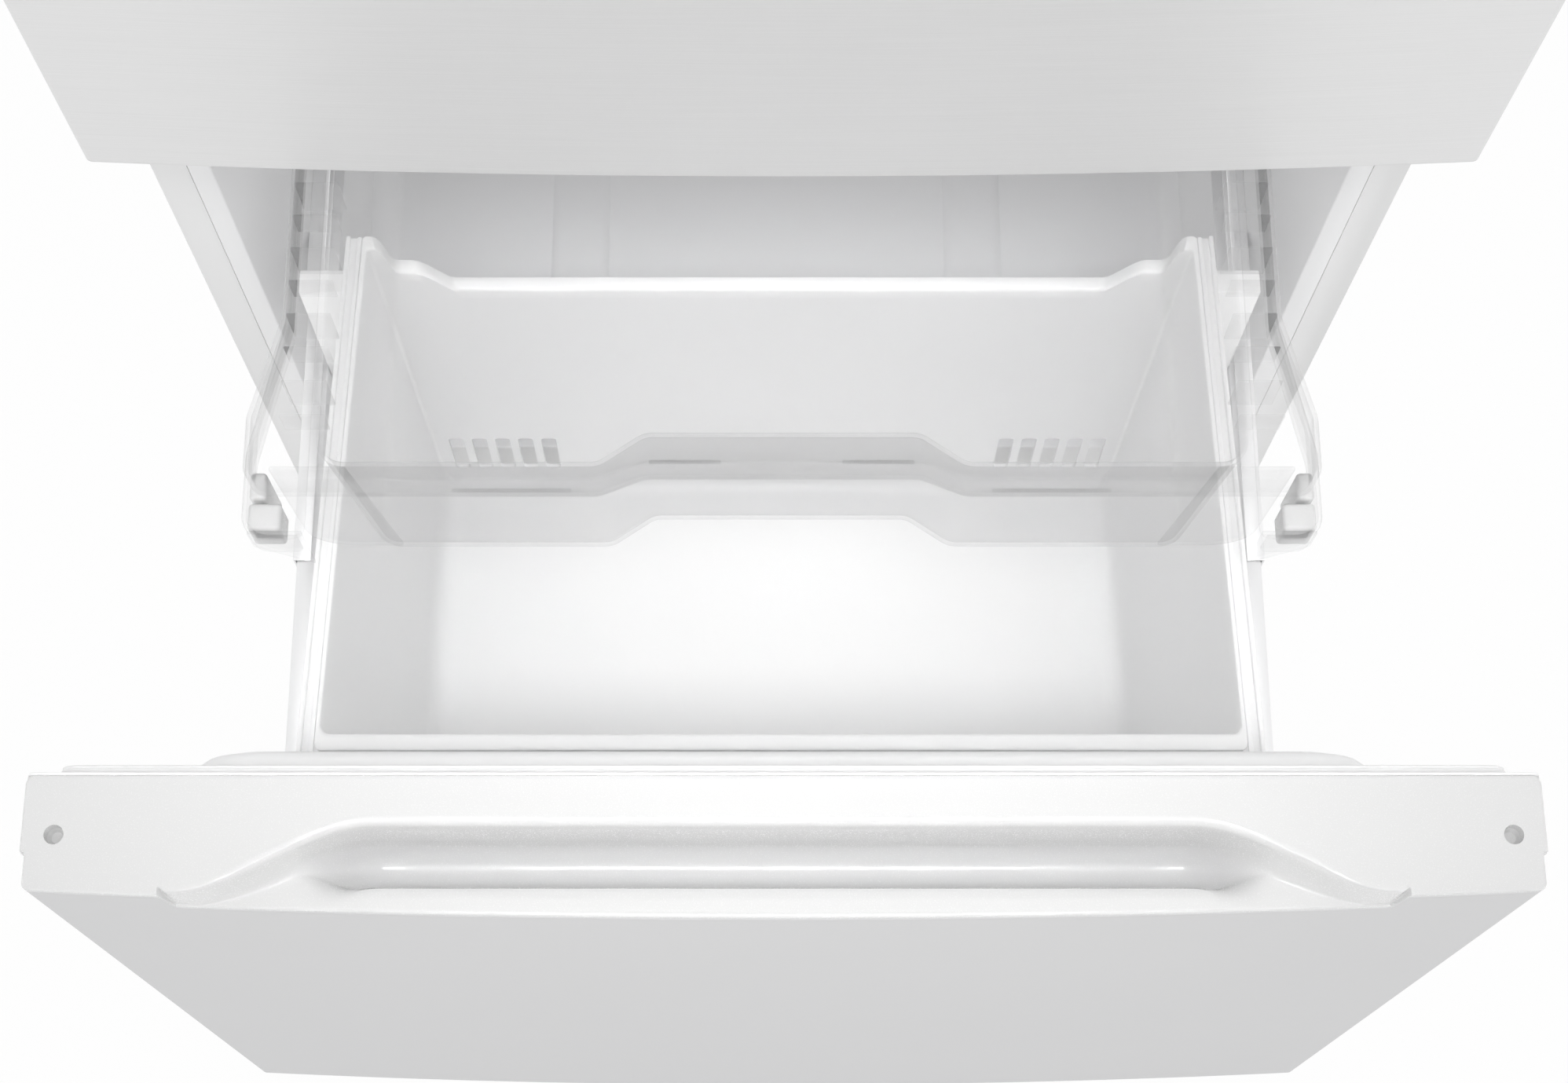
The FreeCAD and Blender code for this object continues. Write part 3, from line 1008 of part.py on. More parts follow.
bin_body = tub("bin_body", "0", bin_floor, bin_top)
bin_room = tub("bin_room", "(-bin_wall)", f"{bin_floor} + bin_wall", f"{bin_top} + 0.5")
bin_lip = prism("bin_lip", "XY",
                trapezoid(f"{bin_half_front} + bin_rim", f"{bin_half_rear} + bin_rim", *bin_y),
                f"{bin_top} - bin_rim_sheet", bin_top)
notch_half = f"({bin_half_rear} - notch_side)"
ledge_half = f"({bin_half_rear} - ledge_side)"
notch = prism("bin_notch", "XZ",
              [(notch_half, f"{bin_top} - notch_drop"),
               (f"{notch_half} + notch_slope", f"{bin_top} - ledge_drop"),
               (ledge_half, f"{bin_top} - ledge_drop"),
               (ledge_half, f"{bin_top} + 2"), (f"-{ledge_half}", f"{bin_top} + 2"),
               (f"-{ledge_half}", f"{bin_top} - ledge_drop"),
               (f"-{notch_half} - notch_slope", f"{bin_top} - ledge_drop"),
               (f"-{notch_half}", f"{bin_top} - notch_drop")],
              f"{bin_y[1]} - bin_draft - 3*bin_rim", f"{bin_y[1]} + 5")
vent_side = f"({bin_half_floor} - vent_wall_gap)"
vents = [row_of(f"vent_row_{side}", (low, f"{low} + vent_width"),
                (f"{bin_y[1]} - bin_draft - bin_rim - 6", f"{bin_y[1]} + 5"),
                (f"{bin_floor} + vent_low", f"{bin_floor} + vent_low + vent_height"),
                "vent_count", "vent_pitch")
         for side, low in (("right", vent_side),
                           ("left", f"-{vent_side} - (vent_count - 1)*vent_pitch - vent_width"))]
freezer_bin = trimmed("freezer_bin", joined("freezer_bin_solid", bin_body, bin_lip), bin_room,
                      notch, *vents)

rail_top = f"({bin_top} - bin_rim_sheet)"
dyke_seat = f"({drawer_rear} + drawer_dyke_depth)"
rails = []
for side, sign in (("left", "-"), ("right", "")):
    front_in, rear_in = f"({bin_half_front} + running_gap)", f"({bin_half_rear} + running_gap)"
    corners = [(f"{sign}({front_in})", dyke_seat),
               (f"{sign}({front_in} + bin_rim + rail_width)", dyke_seat),
               (f"{sign}({front_in} + bin_rim + rail_width)", bin_y[0]),
               (f"{sign}({rear_in} + bin_rim + rail_width)", bin_y[1]),
               (f"{sign}({rear_in})", bin_y[1]), (f"{sign}({front_in})", bin_y[0])]
    if sign:
        corners = list(reversed(corners))
    rails.append(prism(f"bin_rail_{side}", "XY", corners, f"{rail_top} - rail_height",
                       rail_top))
slide_z = (f"({freezer_floor} + slide_low)", f"({freezer_floor} + slide_low + slide_height)")
arm_z = (f"({slide_z[0]} + {slide_z[1]})/2 - arm_height/2",
         f"({slide_z[0]} + {slide_z[1]})/2 + arm_height/2")
inner_face = f"({inner_half} - slide_width - 3*slide_sheet - slide_play)"
posts = []
for side, sign in (("left", "-"), ("right", "")):
    for end, near, rail_at in (("front", dyke_seat, bin_half_front),
                               ("rear", f"{bin_y[1]} - bin_rim - frame_bar*2",
                                bin_half_rear)):
        inward = f"({rail_at} + bin_rim - running_gap)"
        low, high = (f"-{inner_face}", f"-{inward}") if sign else (inward, inner_face)
        posts.append(block(f"bin_post_{side}_{end}", (low, high), (near, f"{near} + frame_bar*2"),
                           (f"{arm_z[0]}", f"{rail_top} - rail_height + 1")))
frame_front = block("bin_frame_front", (f"-{inner_face}", inner_face),
                    (dyke_seat, f"{dyke_seat} + frame_bar"), arm_z)
bin_frame = joined("bin_frame", frame_front, *rails, *posts)

# ---------------------------------------------------------------- drawer slides
slide_y = (f"({case_front} + slide_start)", f"({case_front} + slide_start + slide_length)")


def channel(name, outer_face, width, y, z):
    """One folded slide member: an upright web with a flange along its top and bottom."""
    web = (f"{outer_face} - slide_sheet", outer_face)
    whole = block(f"{name}_whole", (f"{outer_face} - {width}", outer_face), y, z)
    hollow = block(f"{name}_hollow", (f"{outer_face} - {width} - 1", web[0]),
                   (f"{y[0]} - 1", f"{y[1]} + 1"),
                   (f"{z[0]} + slide_sheet", f"{z[1]} - slide_sheet"))
    return trimmed(name, whole, hollow)


nest = "(slide_sheet + slide_play)"
outer_member = channel("outer_member", inner_half, "slide_width", slide_y, slide_z)
slide_outer_members = group("slide_outer_members", outer_member,
                            mirrored("outer_member_left", outer_member))
mid_y = (f"{slide_y[0]} - drawer_travel/2", f"{slide_y[1]} - drawer_travel/2")
mid_face = f"({inner_half} - {nest})"
mid_z = (f"({slide_z[0]} + {nest})", f"({slide_z[1]} - {nest})")
middle_member = channel("middle_member", mid_face, "slide_width", mid_y, mid_z)
slide_middle_members = group("slide_middle_members", middle_member,
                             mirrored("middle_member_left", middle_member))
in_y = (f"{slide_y[0]} - drawer_travel", f"{slide_y[1]} - drawer_travel")
in_face = f"({mid_face} - {nest})"
in_z = (f"({mid_z[0]} + {nest})", f"({mid_z[1]} - {nest})")
inner_bar = block("inner_member", (inner_face, in_face), in_y, in_z)
slide_inner_members = group("slide_inner_members", inner_bar,
                            mirrored("inner_member_left", inner_bar))

# ---------------------------------------------------------------- clear tray
tray_front = f"({face} - tray_reach)"
tray_rear = f"({tray_front} + tray_length)"
tray_top = f"({drawer_top} - tray_top_drop)"
tray_low = f"({tray_top} - tray_height)"


def both_sides(points):
    return points + [(f"-({u})", v) for u, v in reversed(points)]


def tray_plan(grow, front, jog, side_half):
    """The tray's plan: a straight front set back across the middle as a hand hold."""
    return both_sides([("jog_half", f"{front} + {jog} - {grow}"),
                       ("jog_half + jog_slope", f"{front} - {grow}"),
                       (f"{side_half} + {grow}", f"{front} - {grow}"),
                       (f"{side_half} + {grow}", f"{tray_rear} - tray_rim + {grow}")])


wall_front = f"({tray_front} + tray_rim)"
tray_body = loft("tray_body", tray_plan("0", f"{wall_front} + 4", "jog_wall",
                                        tray_floor_half), tray_low,
                 tray_plan("0", wall_front, "jog_wall", tray_half), tray_top)
tray_room = loft("tray_room", tray_plan("(-tray_wall)", f"{wall_front} + 4", "jog_wall",
                                        tray_floor_half), f"{tray_low} + tray_wall",
                 tray_plan("(-tray_wall)", wall_front, "jog_wall", tray_half),
                 f"{tray_top} + 0.5")


def rim_plan(shrink):
    wide = f"{tray_rim_half} + tray_flare - {shrink}"
    return both_sides([("jog_half", f"{tray_front} + jog_rim + {shrink}"),
                       ("jog_half + jog_slope", f"{tray_front} + {shrink}"),
                       (wide, f"{tray_front} + {shrink}"), (wide, f"{tray_front} + flare_start"),
                       (f"{tray_rim_half} - {shrink}", f"{tray_front} + flare_end"),
                       (f"{tray_rim_half} - {shrink}", f"{tray_rear} - {shrink}")])


tray_rim_plate = prism("tray_rim_plate", "XY", rim_plan("0"), f"{tray_top} - tray_wall",
                       tray_top)
tray_skirt = trimmed("tray_skirt",
                     prism("tray_skirt_outer", "XY", rim_plan("0"), f"{tray_top} - tray_lip",
                           tray_top),
                     prism("tray_skirt_inner", "XY", rim_plan("tray_wall"),
                           f"{tray_top} - tray_lip - 1", f"{tray_top} + 1"))
tray_ribs = []
for side, sign in (("left", "-"), ("right", "")):
    for i in range(int(SIZES["rib_count"])):
        rib_y = f"({tray_front} + flare_end - 60 + {i}*rib_pitch)"
        low, high = (f"-{tray_rim_half} + 1", f"-{tray_half} + 1") if sign else (f"{tray_half} - 1",
                                                                         f"{tray_rim_half} - 1")
        tray_ribs.append(block(f"tray_rib_{side}_{i + 1}", (low, high),
                               (rib_y, f"{rib_y} + rib_sheet"),
                               (f"{tray_top} - guide_drop + running_gap", tray_top)))
upper_tray = trimmed("upper_tray", joined("upper_tray_solid", tray_body, tray_rim_plate,
                                          tray_skirt, *tray_ribs), tray_room)

# ---------------------------------------------------------------- tray guides and rails
guide_y = (f"({tray_front} - guide_lead)", f"({tray_front} - guide_lead + guide_length)")
guide_top = f"({tray_top} - guide_drop)"
guide_flange = block("guide_flange", (guide_inner, guide_outer), guide_y,
                     (f"{guide_top} - guide_sheet", guide_top))
guide_wall = block("guide_wall", (f"{guide_outer} - 2.5", guide_outer), guide_y,
                   (f"{guide_top} - guide_web", guide_top))
guide_nose = block("guide_nose", (guide_inner, guide_outer),
                   (guide_y[0], f"{guide_y[0]} + 2.5"), (f"{guide_top} - tray_lip", guide_top))
roller_z = f"({guide_top} - guide_web + roller_round)"
roller_y = f"({guide_y[1]} - roller_round - 4)"
guide_axle = rod("guide_axle", "3", "roller_width + 4", (f"{guide_outer} - 2", roller_y, roller_z),
                 "X")
guide_right = joined("guide_right", guide_flange, guide_wall, guide_nose, guide_axle)
tray_guides = group("tray_guides", guide_right, mirrored("guide_left", guide_right))
block_upper = block("guide_block_upper", (f"{guide_inner} + 14", f"{guide_outer} - 2.5"),
                    (f"{guide_y[0]} + 6", f"{guide_y[0]} + 6 + block_length"),
                    (f"{guide_top} - guide_sheet - block_height", f"{guide_top} - guide_sheet"))
block_lower = block("guide_block_lower", (f"{guide_outer} - 12", f"{guide_outer} - 2.5"),
                    (f"{guide_y[0]} + 24", f"{guide_y[0]} + 24 + block_length"),
                    (f"{guide_top} - guide_web - 14", f"{guide_top} - guide_sheet"))
guide_blocks = group("guide_blocks", block_upper, block_lower,
                     mirrored("guide_block_upper_left", block_upper),
                     mirrored("guide_block_lower_left", block_lower))
roller_right = turned("tray_roller_right",
                      [("3 + shaft_gap", "0"), ("roller_round", "0"),
                       ("roller_round", "roller_width"), ("3 + shaft_gap", "roller_width")],
                      (f"{guide_outer} + running_gap + 0.5", roller_y, roller_z), "X")
tray_rollers = group("tray_rollers", roller_right, mirrored("tray_roller_left", roller_right))

rail_y = (f"({case_front} + slide_start)", f"({freezer_back} - air_space - 12)")
rail_low = f"({guide_top} - guide_web - running_gap - rail_sheet)"
rail_high = f"({guide_top} - guide_web + 2*roller_round + running_gap)"
rail_parts = [block("tray_rail_web", (f"{inner_half} - rail_sheet", inner_half), rail_y,
                    (rail_low, f"{rail_high} + rail_sheet"))]
for end, low in (("low", rail_low), ("high", rail_high)):
    rail_parts.append(block(f"tray_rail_{end}", (f"{guide_outer} + running_gap", inner_half),
                            rail_y, (low, f"{low} + rail_sheet")))
tray_rail_right = joined("tray_rail_right", *rail_parts)
tray_rails = group("tray_rails", tray_rail_right,
                   mirrored("tray_rail_left", tray_rail_right))

# ---------------------------------------------------------------- check and write
NODES = """outer_case back_panel base_pan cabinet_foam fridge_liner freezer_liner mullion_bar
kick_plate compressor compressor_mounts condenser condenser_fan_motor condenser_fan_blade
drain_pan machine_cover cord_inlet evaporator evaporator_cover evaporator_fan_motor
evaporator_fan_blade air_duct_cover control_panel temperature_dial glass_shelves shelf_trims
crisper_cover humidity_slider crisper_left crisper_right leveling_foot_left
leveling_foot_right rear_rollers top_hinge middle_hinge hinge_cover slide_outer_members
slide_middle_members slide_inner_members tray_rails door_skin door_foam door_liner
door_gasket door_end_caps door_grip door_racks dairy_box dairy_lid drawer_skin drawer_cap
drawer_trim drawer_foam drawer_liner drawer_gasket bin_frame freezer_bin upper_tray
tray_guides guide_blocks tray_rollers""".split()

doc.recompute()
for piece in doc.Objects:
    if "Invalid" in piece.State or "Error" in piece.State:
        raise RuntimeError(f"{piece.Name} did not rebuild: {piece.State}")
os.makedirs("parts", exist_ok=True)
for name in NODES:
    piece = doc.getObject(name)
    piece.Label = name
    if piece.Shape.isNull() or not piece.Shape.isValid():
        raise RuntimeError(f"{name} has no valid shape")
    piece.Shape.exportStep(f"parts/{name}.step")
    print(f"{name:24s} solids {len(piece.Shape.Solids):2d} volume {piece.Shape.Volume/1000:10.1f} cm3")
print(f"{len(NODES)} nodes written")
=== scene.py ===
import bpy
import bmesh
import json
import math
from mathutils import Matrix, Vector


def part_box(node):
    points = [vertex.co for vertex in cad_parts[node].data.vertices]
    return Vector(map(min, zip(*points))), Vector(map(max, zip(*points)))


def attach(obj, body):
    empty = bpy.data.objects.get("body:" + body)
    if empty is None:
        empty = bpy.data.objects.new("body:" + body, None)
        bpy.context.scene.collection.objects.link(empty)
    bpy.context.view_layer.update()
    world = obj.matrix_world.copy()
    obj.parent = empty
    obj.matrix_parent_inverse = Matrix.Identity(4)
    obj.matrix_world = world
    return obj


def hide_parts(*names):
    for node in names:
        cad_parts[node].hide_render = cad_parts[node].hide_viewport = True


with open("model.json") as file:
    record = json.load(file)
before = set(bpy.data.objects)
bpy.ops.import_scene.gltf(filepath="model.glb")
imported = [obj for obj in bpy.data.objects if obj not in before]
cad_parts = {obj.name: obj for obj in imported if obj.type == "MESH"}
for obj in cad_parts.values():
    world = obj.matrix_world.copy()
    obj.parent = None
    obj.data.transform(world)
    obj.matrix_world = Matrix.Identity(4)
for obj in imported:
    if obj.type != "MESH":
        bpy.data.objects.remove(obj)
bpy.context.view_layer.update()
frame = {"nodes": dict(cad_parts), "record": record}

# ------------------------------------------------------------------ the viewpoint
# The camera stands over the open freezer drawer and looks steeply down at it, a little to
# the left of the middle, as the photograph was taken.
PHOTO_WIDTH = 1996
OPTICAL_LENGTH = 3316
OPTICAL_COLUMN = 972.2
CAMERA_SPOT = (-0.0100, -0.8406, 1.9868)
CAMERA_TILT = math.radians(19.25)
SENSOR = 36

bpy.ops.object.camera_add(location=CAMERA_SPOT, rotation=(CAMERA_TILT, 0, 0))
camera = bpy.context.object
camera.name = "photo_view"
camera.data.sensor_width = SENSOR
camera.data.lens = SENSOR * OPTICAL_LENGTH / PHOTO_WIDTH
camera.data.shift_x = 0.5 - OPTICAL_COLUMN / PHOTO_WIDTH
bpy.context.scene.camera = camera
bpy.context.scene.view_settings.view_transform = "Standard"


# ------------------------------------------------------------------ floor and light
# A white studio floor that keeps a faint shadow, in a white room. Three broad soft lamps light
# the whole object, and two small ones reach into the drawer and the freezer room.
def worked(nodes, links, operation, *values):
    """The result of a Math node that is fed by numbers and by other nodes."""
    step = nodes.new("ShaderNodeMath")
    step.operation = operation
    for socket, value in zip(step.inputs, values):
        if isinstance(value, (int, float)):
            socket.default_value = value
        else:
            links.new(value, socket)
    return step.outputs[0]


def seen_directly(nodes, links):
    """1 for rays from the camera, mirrors and clear parts, 0 for the light itself."""
    path = nodes.new("ShaderNodeLightPath").outputs
    first = worked(nodes, links, "MAXIMUM", path["Is Camera Ray"], path["Is Glossy Ray"])
    return worked(nodes, links, "MAXIMUM", first, path["Is Transmission Ray"])


def mixed(nodes, links, share, first, second, surface):
    """Gives a surface a mix of two shaders."""
    blend = nodes.new("ShaderNodeMixShader")
    for socket, source in zip(blend.inputs, (share, first.outputs[0], second.outputs[0])):
        links.new(source, socket)
    links.new(blend.outputs[0], surface)


FLOOR_SIZE = 14
FLOOR_SUNK = 0.0005
FLOOR_COLOUR = (0.92, 0.92, 0.92, 1)
FLOOR_WHITENESS = 0.95
ROOM_FILL = 0.82
bpy.ops.mesh.primitive_plane_add(size=FLOOR_SIZE, location=(0, 0, -FLOOR_SUNK))
floor = bpy.context.object
floor.name = "studio_floor"
floor.data.transform(floor.matrix_world)
floor.matrix_world.identity()
paper = bpy.data.materials.new("studio_paper")
paper.use_nodes = True
nodes, links = paper.node_tree.nodes, paper.node_tree.links
nodes.clear()
flat = nodes.new("ShaderNodeBsdfDiffuse")
flat.inputs["Color"].default_value = FLOOR_COLOUR
mixed(nodes, links, worked(nodes, links, "MULTIPLY", seen_directly(nodes, links), FLOOR_WHITENESS),
      flat, nodes.new("ShaderNodeEmission"),
      nodes.new("ShaderNodeOutputMaterial").inputs["Surface"])
floor.data.materials.append(paper)

room = bpy.data.worlds.new("white_room")
room.use_nodes = True
bpy.context.scene.world = room
nodes, links = room.node_tree.nodes, room.node_tree.links
nodes.clear()
fill, white = (nodes.new("ShaderNodeBackground") for _ in range(2))
for ground, strength in ((fill, ROOM_FILL), (white, 1)):
    ground.inputs["Color"].default_value = (1, 1, 1, 1)
    ground.inputs["Strength"].default_value = strength
mixed(nodes, links, seen_directly(nodes, links), fill, white,
      nodes.new("ShaderNodeOutputWorld").inputs["Surface"])

for name, spot, aim, size, watts, beam in (
        ("main_panel", (-0.5, -2.3, 2.8), (0, -0.2, 0.4), (2.0, 2.0), 9, 180),
        ("overhead_panel", (0.2, -0.7, 3.4), (0, -0.2, 0.4), (1.8, 1.8), 5, 180),
        ("right_panel", (2.6, -1.2, 2.0), (0, -0.2, 0.7), (1.8, 1.8), 5, 180),
        ("drawer_panel", (0, -1.0, 2.4), (0, -0.24, 0.35), (0.6, 0.3), 0.5, 24),
        ("freezer_panel", (0, 0.02, 0.674), (0, 0.02, 0.1), (0.5, 0.28), 0.45, 180)):
    bpy.ops.object.light_add(type="AREA", location=spot)
    lamp = bpy.context.object
    lamp.name = name
    lamp.data.shape = "RECTANGLE"
    lamp.data.size, lamp.data.size_y = size
    lamp.data.energy = watts
    lamp.data.spread = math.radians(beam)
    lamp.visible_camera = False
    lamp.rotation_euler = (Vector(aim) - Vector(spot)).to_track_quat("-Z", "Y").to_euler()


# ------------------------------------------------------------------ cabinet shell
# The case is one wrap of painted sheet steel with a narrow front flange. A plated back panel
# and base close it, and foam fills it and the doors.
def skin_group(name, *inputs):
    """An empty group for a surface, as its tree, what it is given and what it puts out."""
    tree = bpy.data.node_groups.new(name, "ShaderNodeTree")
    kinds = {"Colour": "NodeSocketColor", "Normal": "NodeSocketVector"}
    for way, labels in (("INPUT", inputs), ("OUTPUT", ("Colour", "Roughness", "Normal"))):
        for label in labels:
            tree.interface.new_socket(name=label, in_out=way,
                                      socket_type=kinds.get(label, "NodeSocketFloat"))
    given = tree.nodes.new("NodeGroupInput").outputs
    return tree, given, tree.nodes.new("NodeGroupOutput").inputs


def scaled(nodes, links, colour, factor, result):
    """Puts out a colour times a factor that changes over the surface."""
    shade = nodes.new("ShaderNodeVectorMath")
    shade.operation = "SCALE"
    links.new(colour, shade.inputs[0])
    links.new(factor, shade.inputs["Scale"])
    links.new(shade.outputs[0], result)


def moulding_grain():
    """Colour, roughness and normal of a moulded or painted skin: mottle and a fine grain."""
    tree, given, result = skin_group("moulding_grain", "Colour", "Grain Size", "Mottle",
                                     "Roughness", "Depth")
    nodes, links = tree.nodes, tree.links
    place = nodes.new("ShaderNodeTexCoord").outputs["Object"]
    broad, fine = (nodes.new("ShaderNodeTexNoise") for _ in range(2))
    for noise, detail in ((broad, 3.0), (fine, 2.0)):
        noise.inputs["Detail"].default_value = detail
        links.new(place, noise.inputs["Vector"])
    broad.inputs["Scale"].default_value = 6.0
    links.new(given["Grain Size"], fine.inputs["Scale"])
    mottle = worked(nodes, links, "MULTIPLY_ADD", broad.outputs["Fac"], given["Mottle"], 1.0)
    scaled(nodes, links, given["Colour"], mottle, result["Colour"])
    uneven = worked(nodes, links, "MULTIPLY_ADD", fine.outputs["Fac"], 0.12, given["Roughness"])
    links.new(uneven, result["Roughness"])
    dents = nodes.new("ShaderNodeBump")
    dents.inputs["Distance"].default_value = 0.0006
    links.new(given["Depth"], dents.inputs["Strength"])
    links.new(fine.outputs["Fac"], dents.inputs["Height"])
    links.new(dents.outputs["Normal"], result["Normal"])
    return tree


def surfaced(name, group, values, metal=0.0, coat=0.0):
    """A finish whose colour, roughness and normal come from a skin group."""
    finish = bpy.data.materials.new(name)
    finish.use_nodes = True
    nodes, links = finish.node_tree.nodes, finish.node_tree.links
    shader = nodes["Principled BSDF"]
    shader.inputs["Metallic"].default_value = metal
    shader.inputs["Coat Weight"].default_value = coat
    skin = nodes.new("ShaderNodeGroup")
    skin.node_tree = group
    for label, value in values.items():
        skin.inputs[label].default_value = value
    for theirs, ours in (("Colour", "Base Color"), ("Roughness", "Roughness"),
                         ("Normal", "Normal")):
        links.new(skin.outputs[theirs], shader.inputs[ours])
    return finish


GRAIN = moulding_grain()


def moulded(name, colour, roughness, grain, depth, mottle=0.03, metal=0.0, coat=0.0):
    """A painted, moulded or plated finish with the shared grain."""
    return surfaced(name, GRAIN, {"Colour": (*colour, 1), "Grain Size": grain, "Depth": depth,
                                  "Mottle": mottle, "Roughness": roughness}, metal, coat)


def dress(finish, *names):
    """Gives CAD nodes that stay in view their finish."""
    for name in names:
        for slot in frame["nodes"][name].material_slots:
            slot.material = finish


case_paint = moulded("case_paint", (0.86, 0.86, 0.86), 0.38, 700, 0.12)
zinc_sheet = moulded("zinc_sheet", (0.60, 0.61, 0.62), 0.42, 260, 0.05, 0.25, 0.85)
insulation = moulded("insulation_foam", (0.82, 0.74, 0.52), 0.9, 420, 0.5, 0.15)
dress(zinc_sheet, "back_panel", "base_pan")
dress(insulation, "cabinet_foam", "door_foam")


# ------------------------------------------------------------------ machine room and fans
# The compressor and the condenser are enamelled black, on rubber mounts, and the cord enters
# by a rubber gland. The fans, their motors and the rear rollers are dark moulded plastic.
black_rubber = moulded("black_rubber", (0.035, 0.035, 0.036), 0.65, 900, 0.2)
black_steel = moulded("black_enamel", (0.03, 0.03, 0.032), 0.35, 300, 0.12)
dark_plastic = moulded("dark_plastic", (0.22, 0.22, 0.225), 0.5, 900, 0.2)
dress(black_rubber, "compressor_mounts", "cord_inlet")
dress(black_steel, "compressor", "condenser")
dress(dark_plastic, "condenser_fan_motor", "condenser_fan_blade", "evaporator_fan_motor",
      "evaporator_fan_blade", "rear_rollers")


# ------------------------------------------------------------------ cooling coil
# Bare aluminium tube, bent to and fro through thin fins. It hangs behind the cover on the
# freezer room's rear wall.
coil_metal = moulded("coil_aluminium", (0.75, 0.76, 0.77), 0.3, 500, 0.1, 0.1, 0.9)
dress(coil_metal, "evaporator")


# ------------------------------------------------------------------ controls and tray rollers
# The dial, the humidity slider and the tray's rollers are moulded in glossy white plastic and
# snap on their axles.
white_moulding = moulded("white_moulding", (0.71, 0.71, 0.71), 0.2, 1400, 0.02, coat=0.3)
dress(white_moulding, "tray_rollers", "humidity_slider", "temperature_dial")


# ------------------------------------------------------------------ upper door skin
# One sheet of brushed steel, bowed 9 mm across the width and folded round both sides. Its hems
# at the bottom and top are left out, and its edges are only eased. A slot in its free edge opens
# into the pocket grip.
MM = 0.001


def reach(node):
    """The two far corners of a CAD node, in millimetres."""
    low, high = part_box(node)
    return [v / MM for v in low], [v / MM for v in high]


def smooth_step(t):
    """0 up to 0, 1 from 1, and an S-curve in between."""
    t = min(max(t, 0.0), 1.0)
    return t * t * (3 - 2 * t)


def between(a, b, t):
    """The value a share of the way from a to b."""
    return a + (b - a) * t


def sheet_form(name, rows, around=False, ends=(False, False)):
    """A skin through rows of points in millimetres, open or closed along each row."""
    form = bmesh.new()
    grid = [[form.verts.new(Vector(point) * MM) for point in row] for row in rows]
    count = len(rows[0])
    for lower, upper in zip(grid, grid[1:]):
        for i in range(count if around else count - 1):
            j = (i + 1) % count
            form.faces.new((lower[i], lower[j], upper[j], upper[i]))
    for closed, row in zip(ends, (grid[0], grid[-1])):
        if closed:
            form.faces.new(row)
    bmesh.ops.remove_doubles(form, verts=form.verts, dist=0.00001)
    bmesh.ops.recalc_face_normals(form, faces=form.faces)
    mesh = bpy.data.meshes.new(name)
    form.to_mesh(mesh)
    form.free()
    piece = bpy.data.objects.new(name, mesh)
    bpy.context.collection.objects.link(piece)
    return piece


def thickened(piece, wall, even=True):
    """Gives a skin its wall, on the inner side of its faces."""
    solid = piece.modifiers.new("wall", "SOLIDIFY")
    solid.thickness = wall * MM
    solid.offset = -1
    solid.use_even_offset = even
    return piece


def eased(piece, width, segments=2, angle=40):
    """Rounds the edges that turn by more than an angle."""
    bevel = piece.modifiers.new("eased_edges", "BEVEL")
    bevel.width = width * MM
    bevel.segments = segments
    bevel.limit_method = "ANGLE"
    bevel.angle_limit = math.radians(angle)
    return piece


def bake(piece):
    """Applies all of a piece's modifiers to its mesh, and gives the mesh."""
    depsgraph = bpy.context.evaluated_depsgraph_get()
    depsgraph.update()
    piece.data = bpy.data.meshes.new_from_object(piece.evaluated_get(depsgraph))
    piece.modifiers.clear()
    return piece.data


def settled(piece, finish, body, nodes, crease=34):
    """Bakes a piece, creases its sharp edges and puts it in the place of its CAD nodes."""
    baked = bake(piece)
    form = bmesh.new()
    form.from_mesh(baked)
    for face in form.faces:
        face.smooth = True
    for edge in form.edges:
        edge.smooth = len(edge.link_faces) != 2 or edge.calc_face_angle() < math.radians(crease)
    form.to_mesh(baked)
    form.free()
    baked.materials.clear()
    baked.materials.append(finish)
    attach(piece, body)
    if nodes:
        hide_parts(*nodes)


def cut_out(piece, *cutters):
    """Takes cutters out of a piece and throws them away."""
    for cutter in cutters:
        tool = piece.modifiers.new("cut", "BOOLEAN")
        tool.object = cutter
        tool.solver = "EXACT"
    bake(piece)
    for cutter in cutters:
        bpy.data.objects.remove(cutter)


def rounded(corners, radii, steps=5):
    """A closed plan through corners, each turned by a true arc of its own radius."""
    points = []
    for i, corner in enumerate(corners):
        here = Vector(corner)
        back = Vector(corners[i - 1]) - here
        ahead = Vector(corners[(i + 1) % len(corners)]) - here
        if radii[i] == 0:
            points.append(tuple(here))
            continue
        half_turn = back.angle(ahead) / 2
        run = min(radii[i] / math.tan(half_turn), 0.49 * back.length, 0.49 * ahead.length)
        start, end = here + back.normalized() * run, here + ahead.normalized() * run
        weight = math.sin(half_turn)
        for k in range(steps + 1):
            t = k / steps
            parts = ((1 - t) ** 2, 2 * t * (1 - t) * weight, t * t)
            spot = (start * parts[0] + here * parts[1] + end * parts[2]) / sum(parts)
            points.append(tuple(spot))
    return points


def rounded_box(left, right, low, high, radius, steps=5):
    """A closed plan round a rectangle with four equal corners."""
    return rounded([(left, low), (right, low), (right, high), (left, high)], [radius] * 4, steps)


def solid_form(name, rows):
    """A closed solid through rings of points in millimetres."""
    return sheet_form(name, rows, around=True, ends=(True, True))


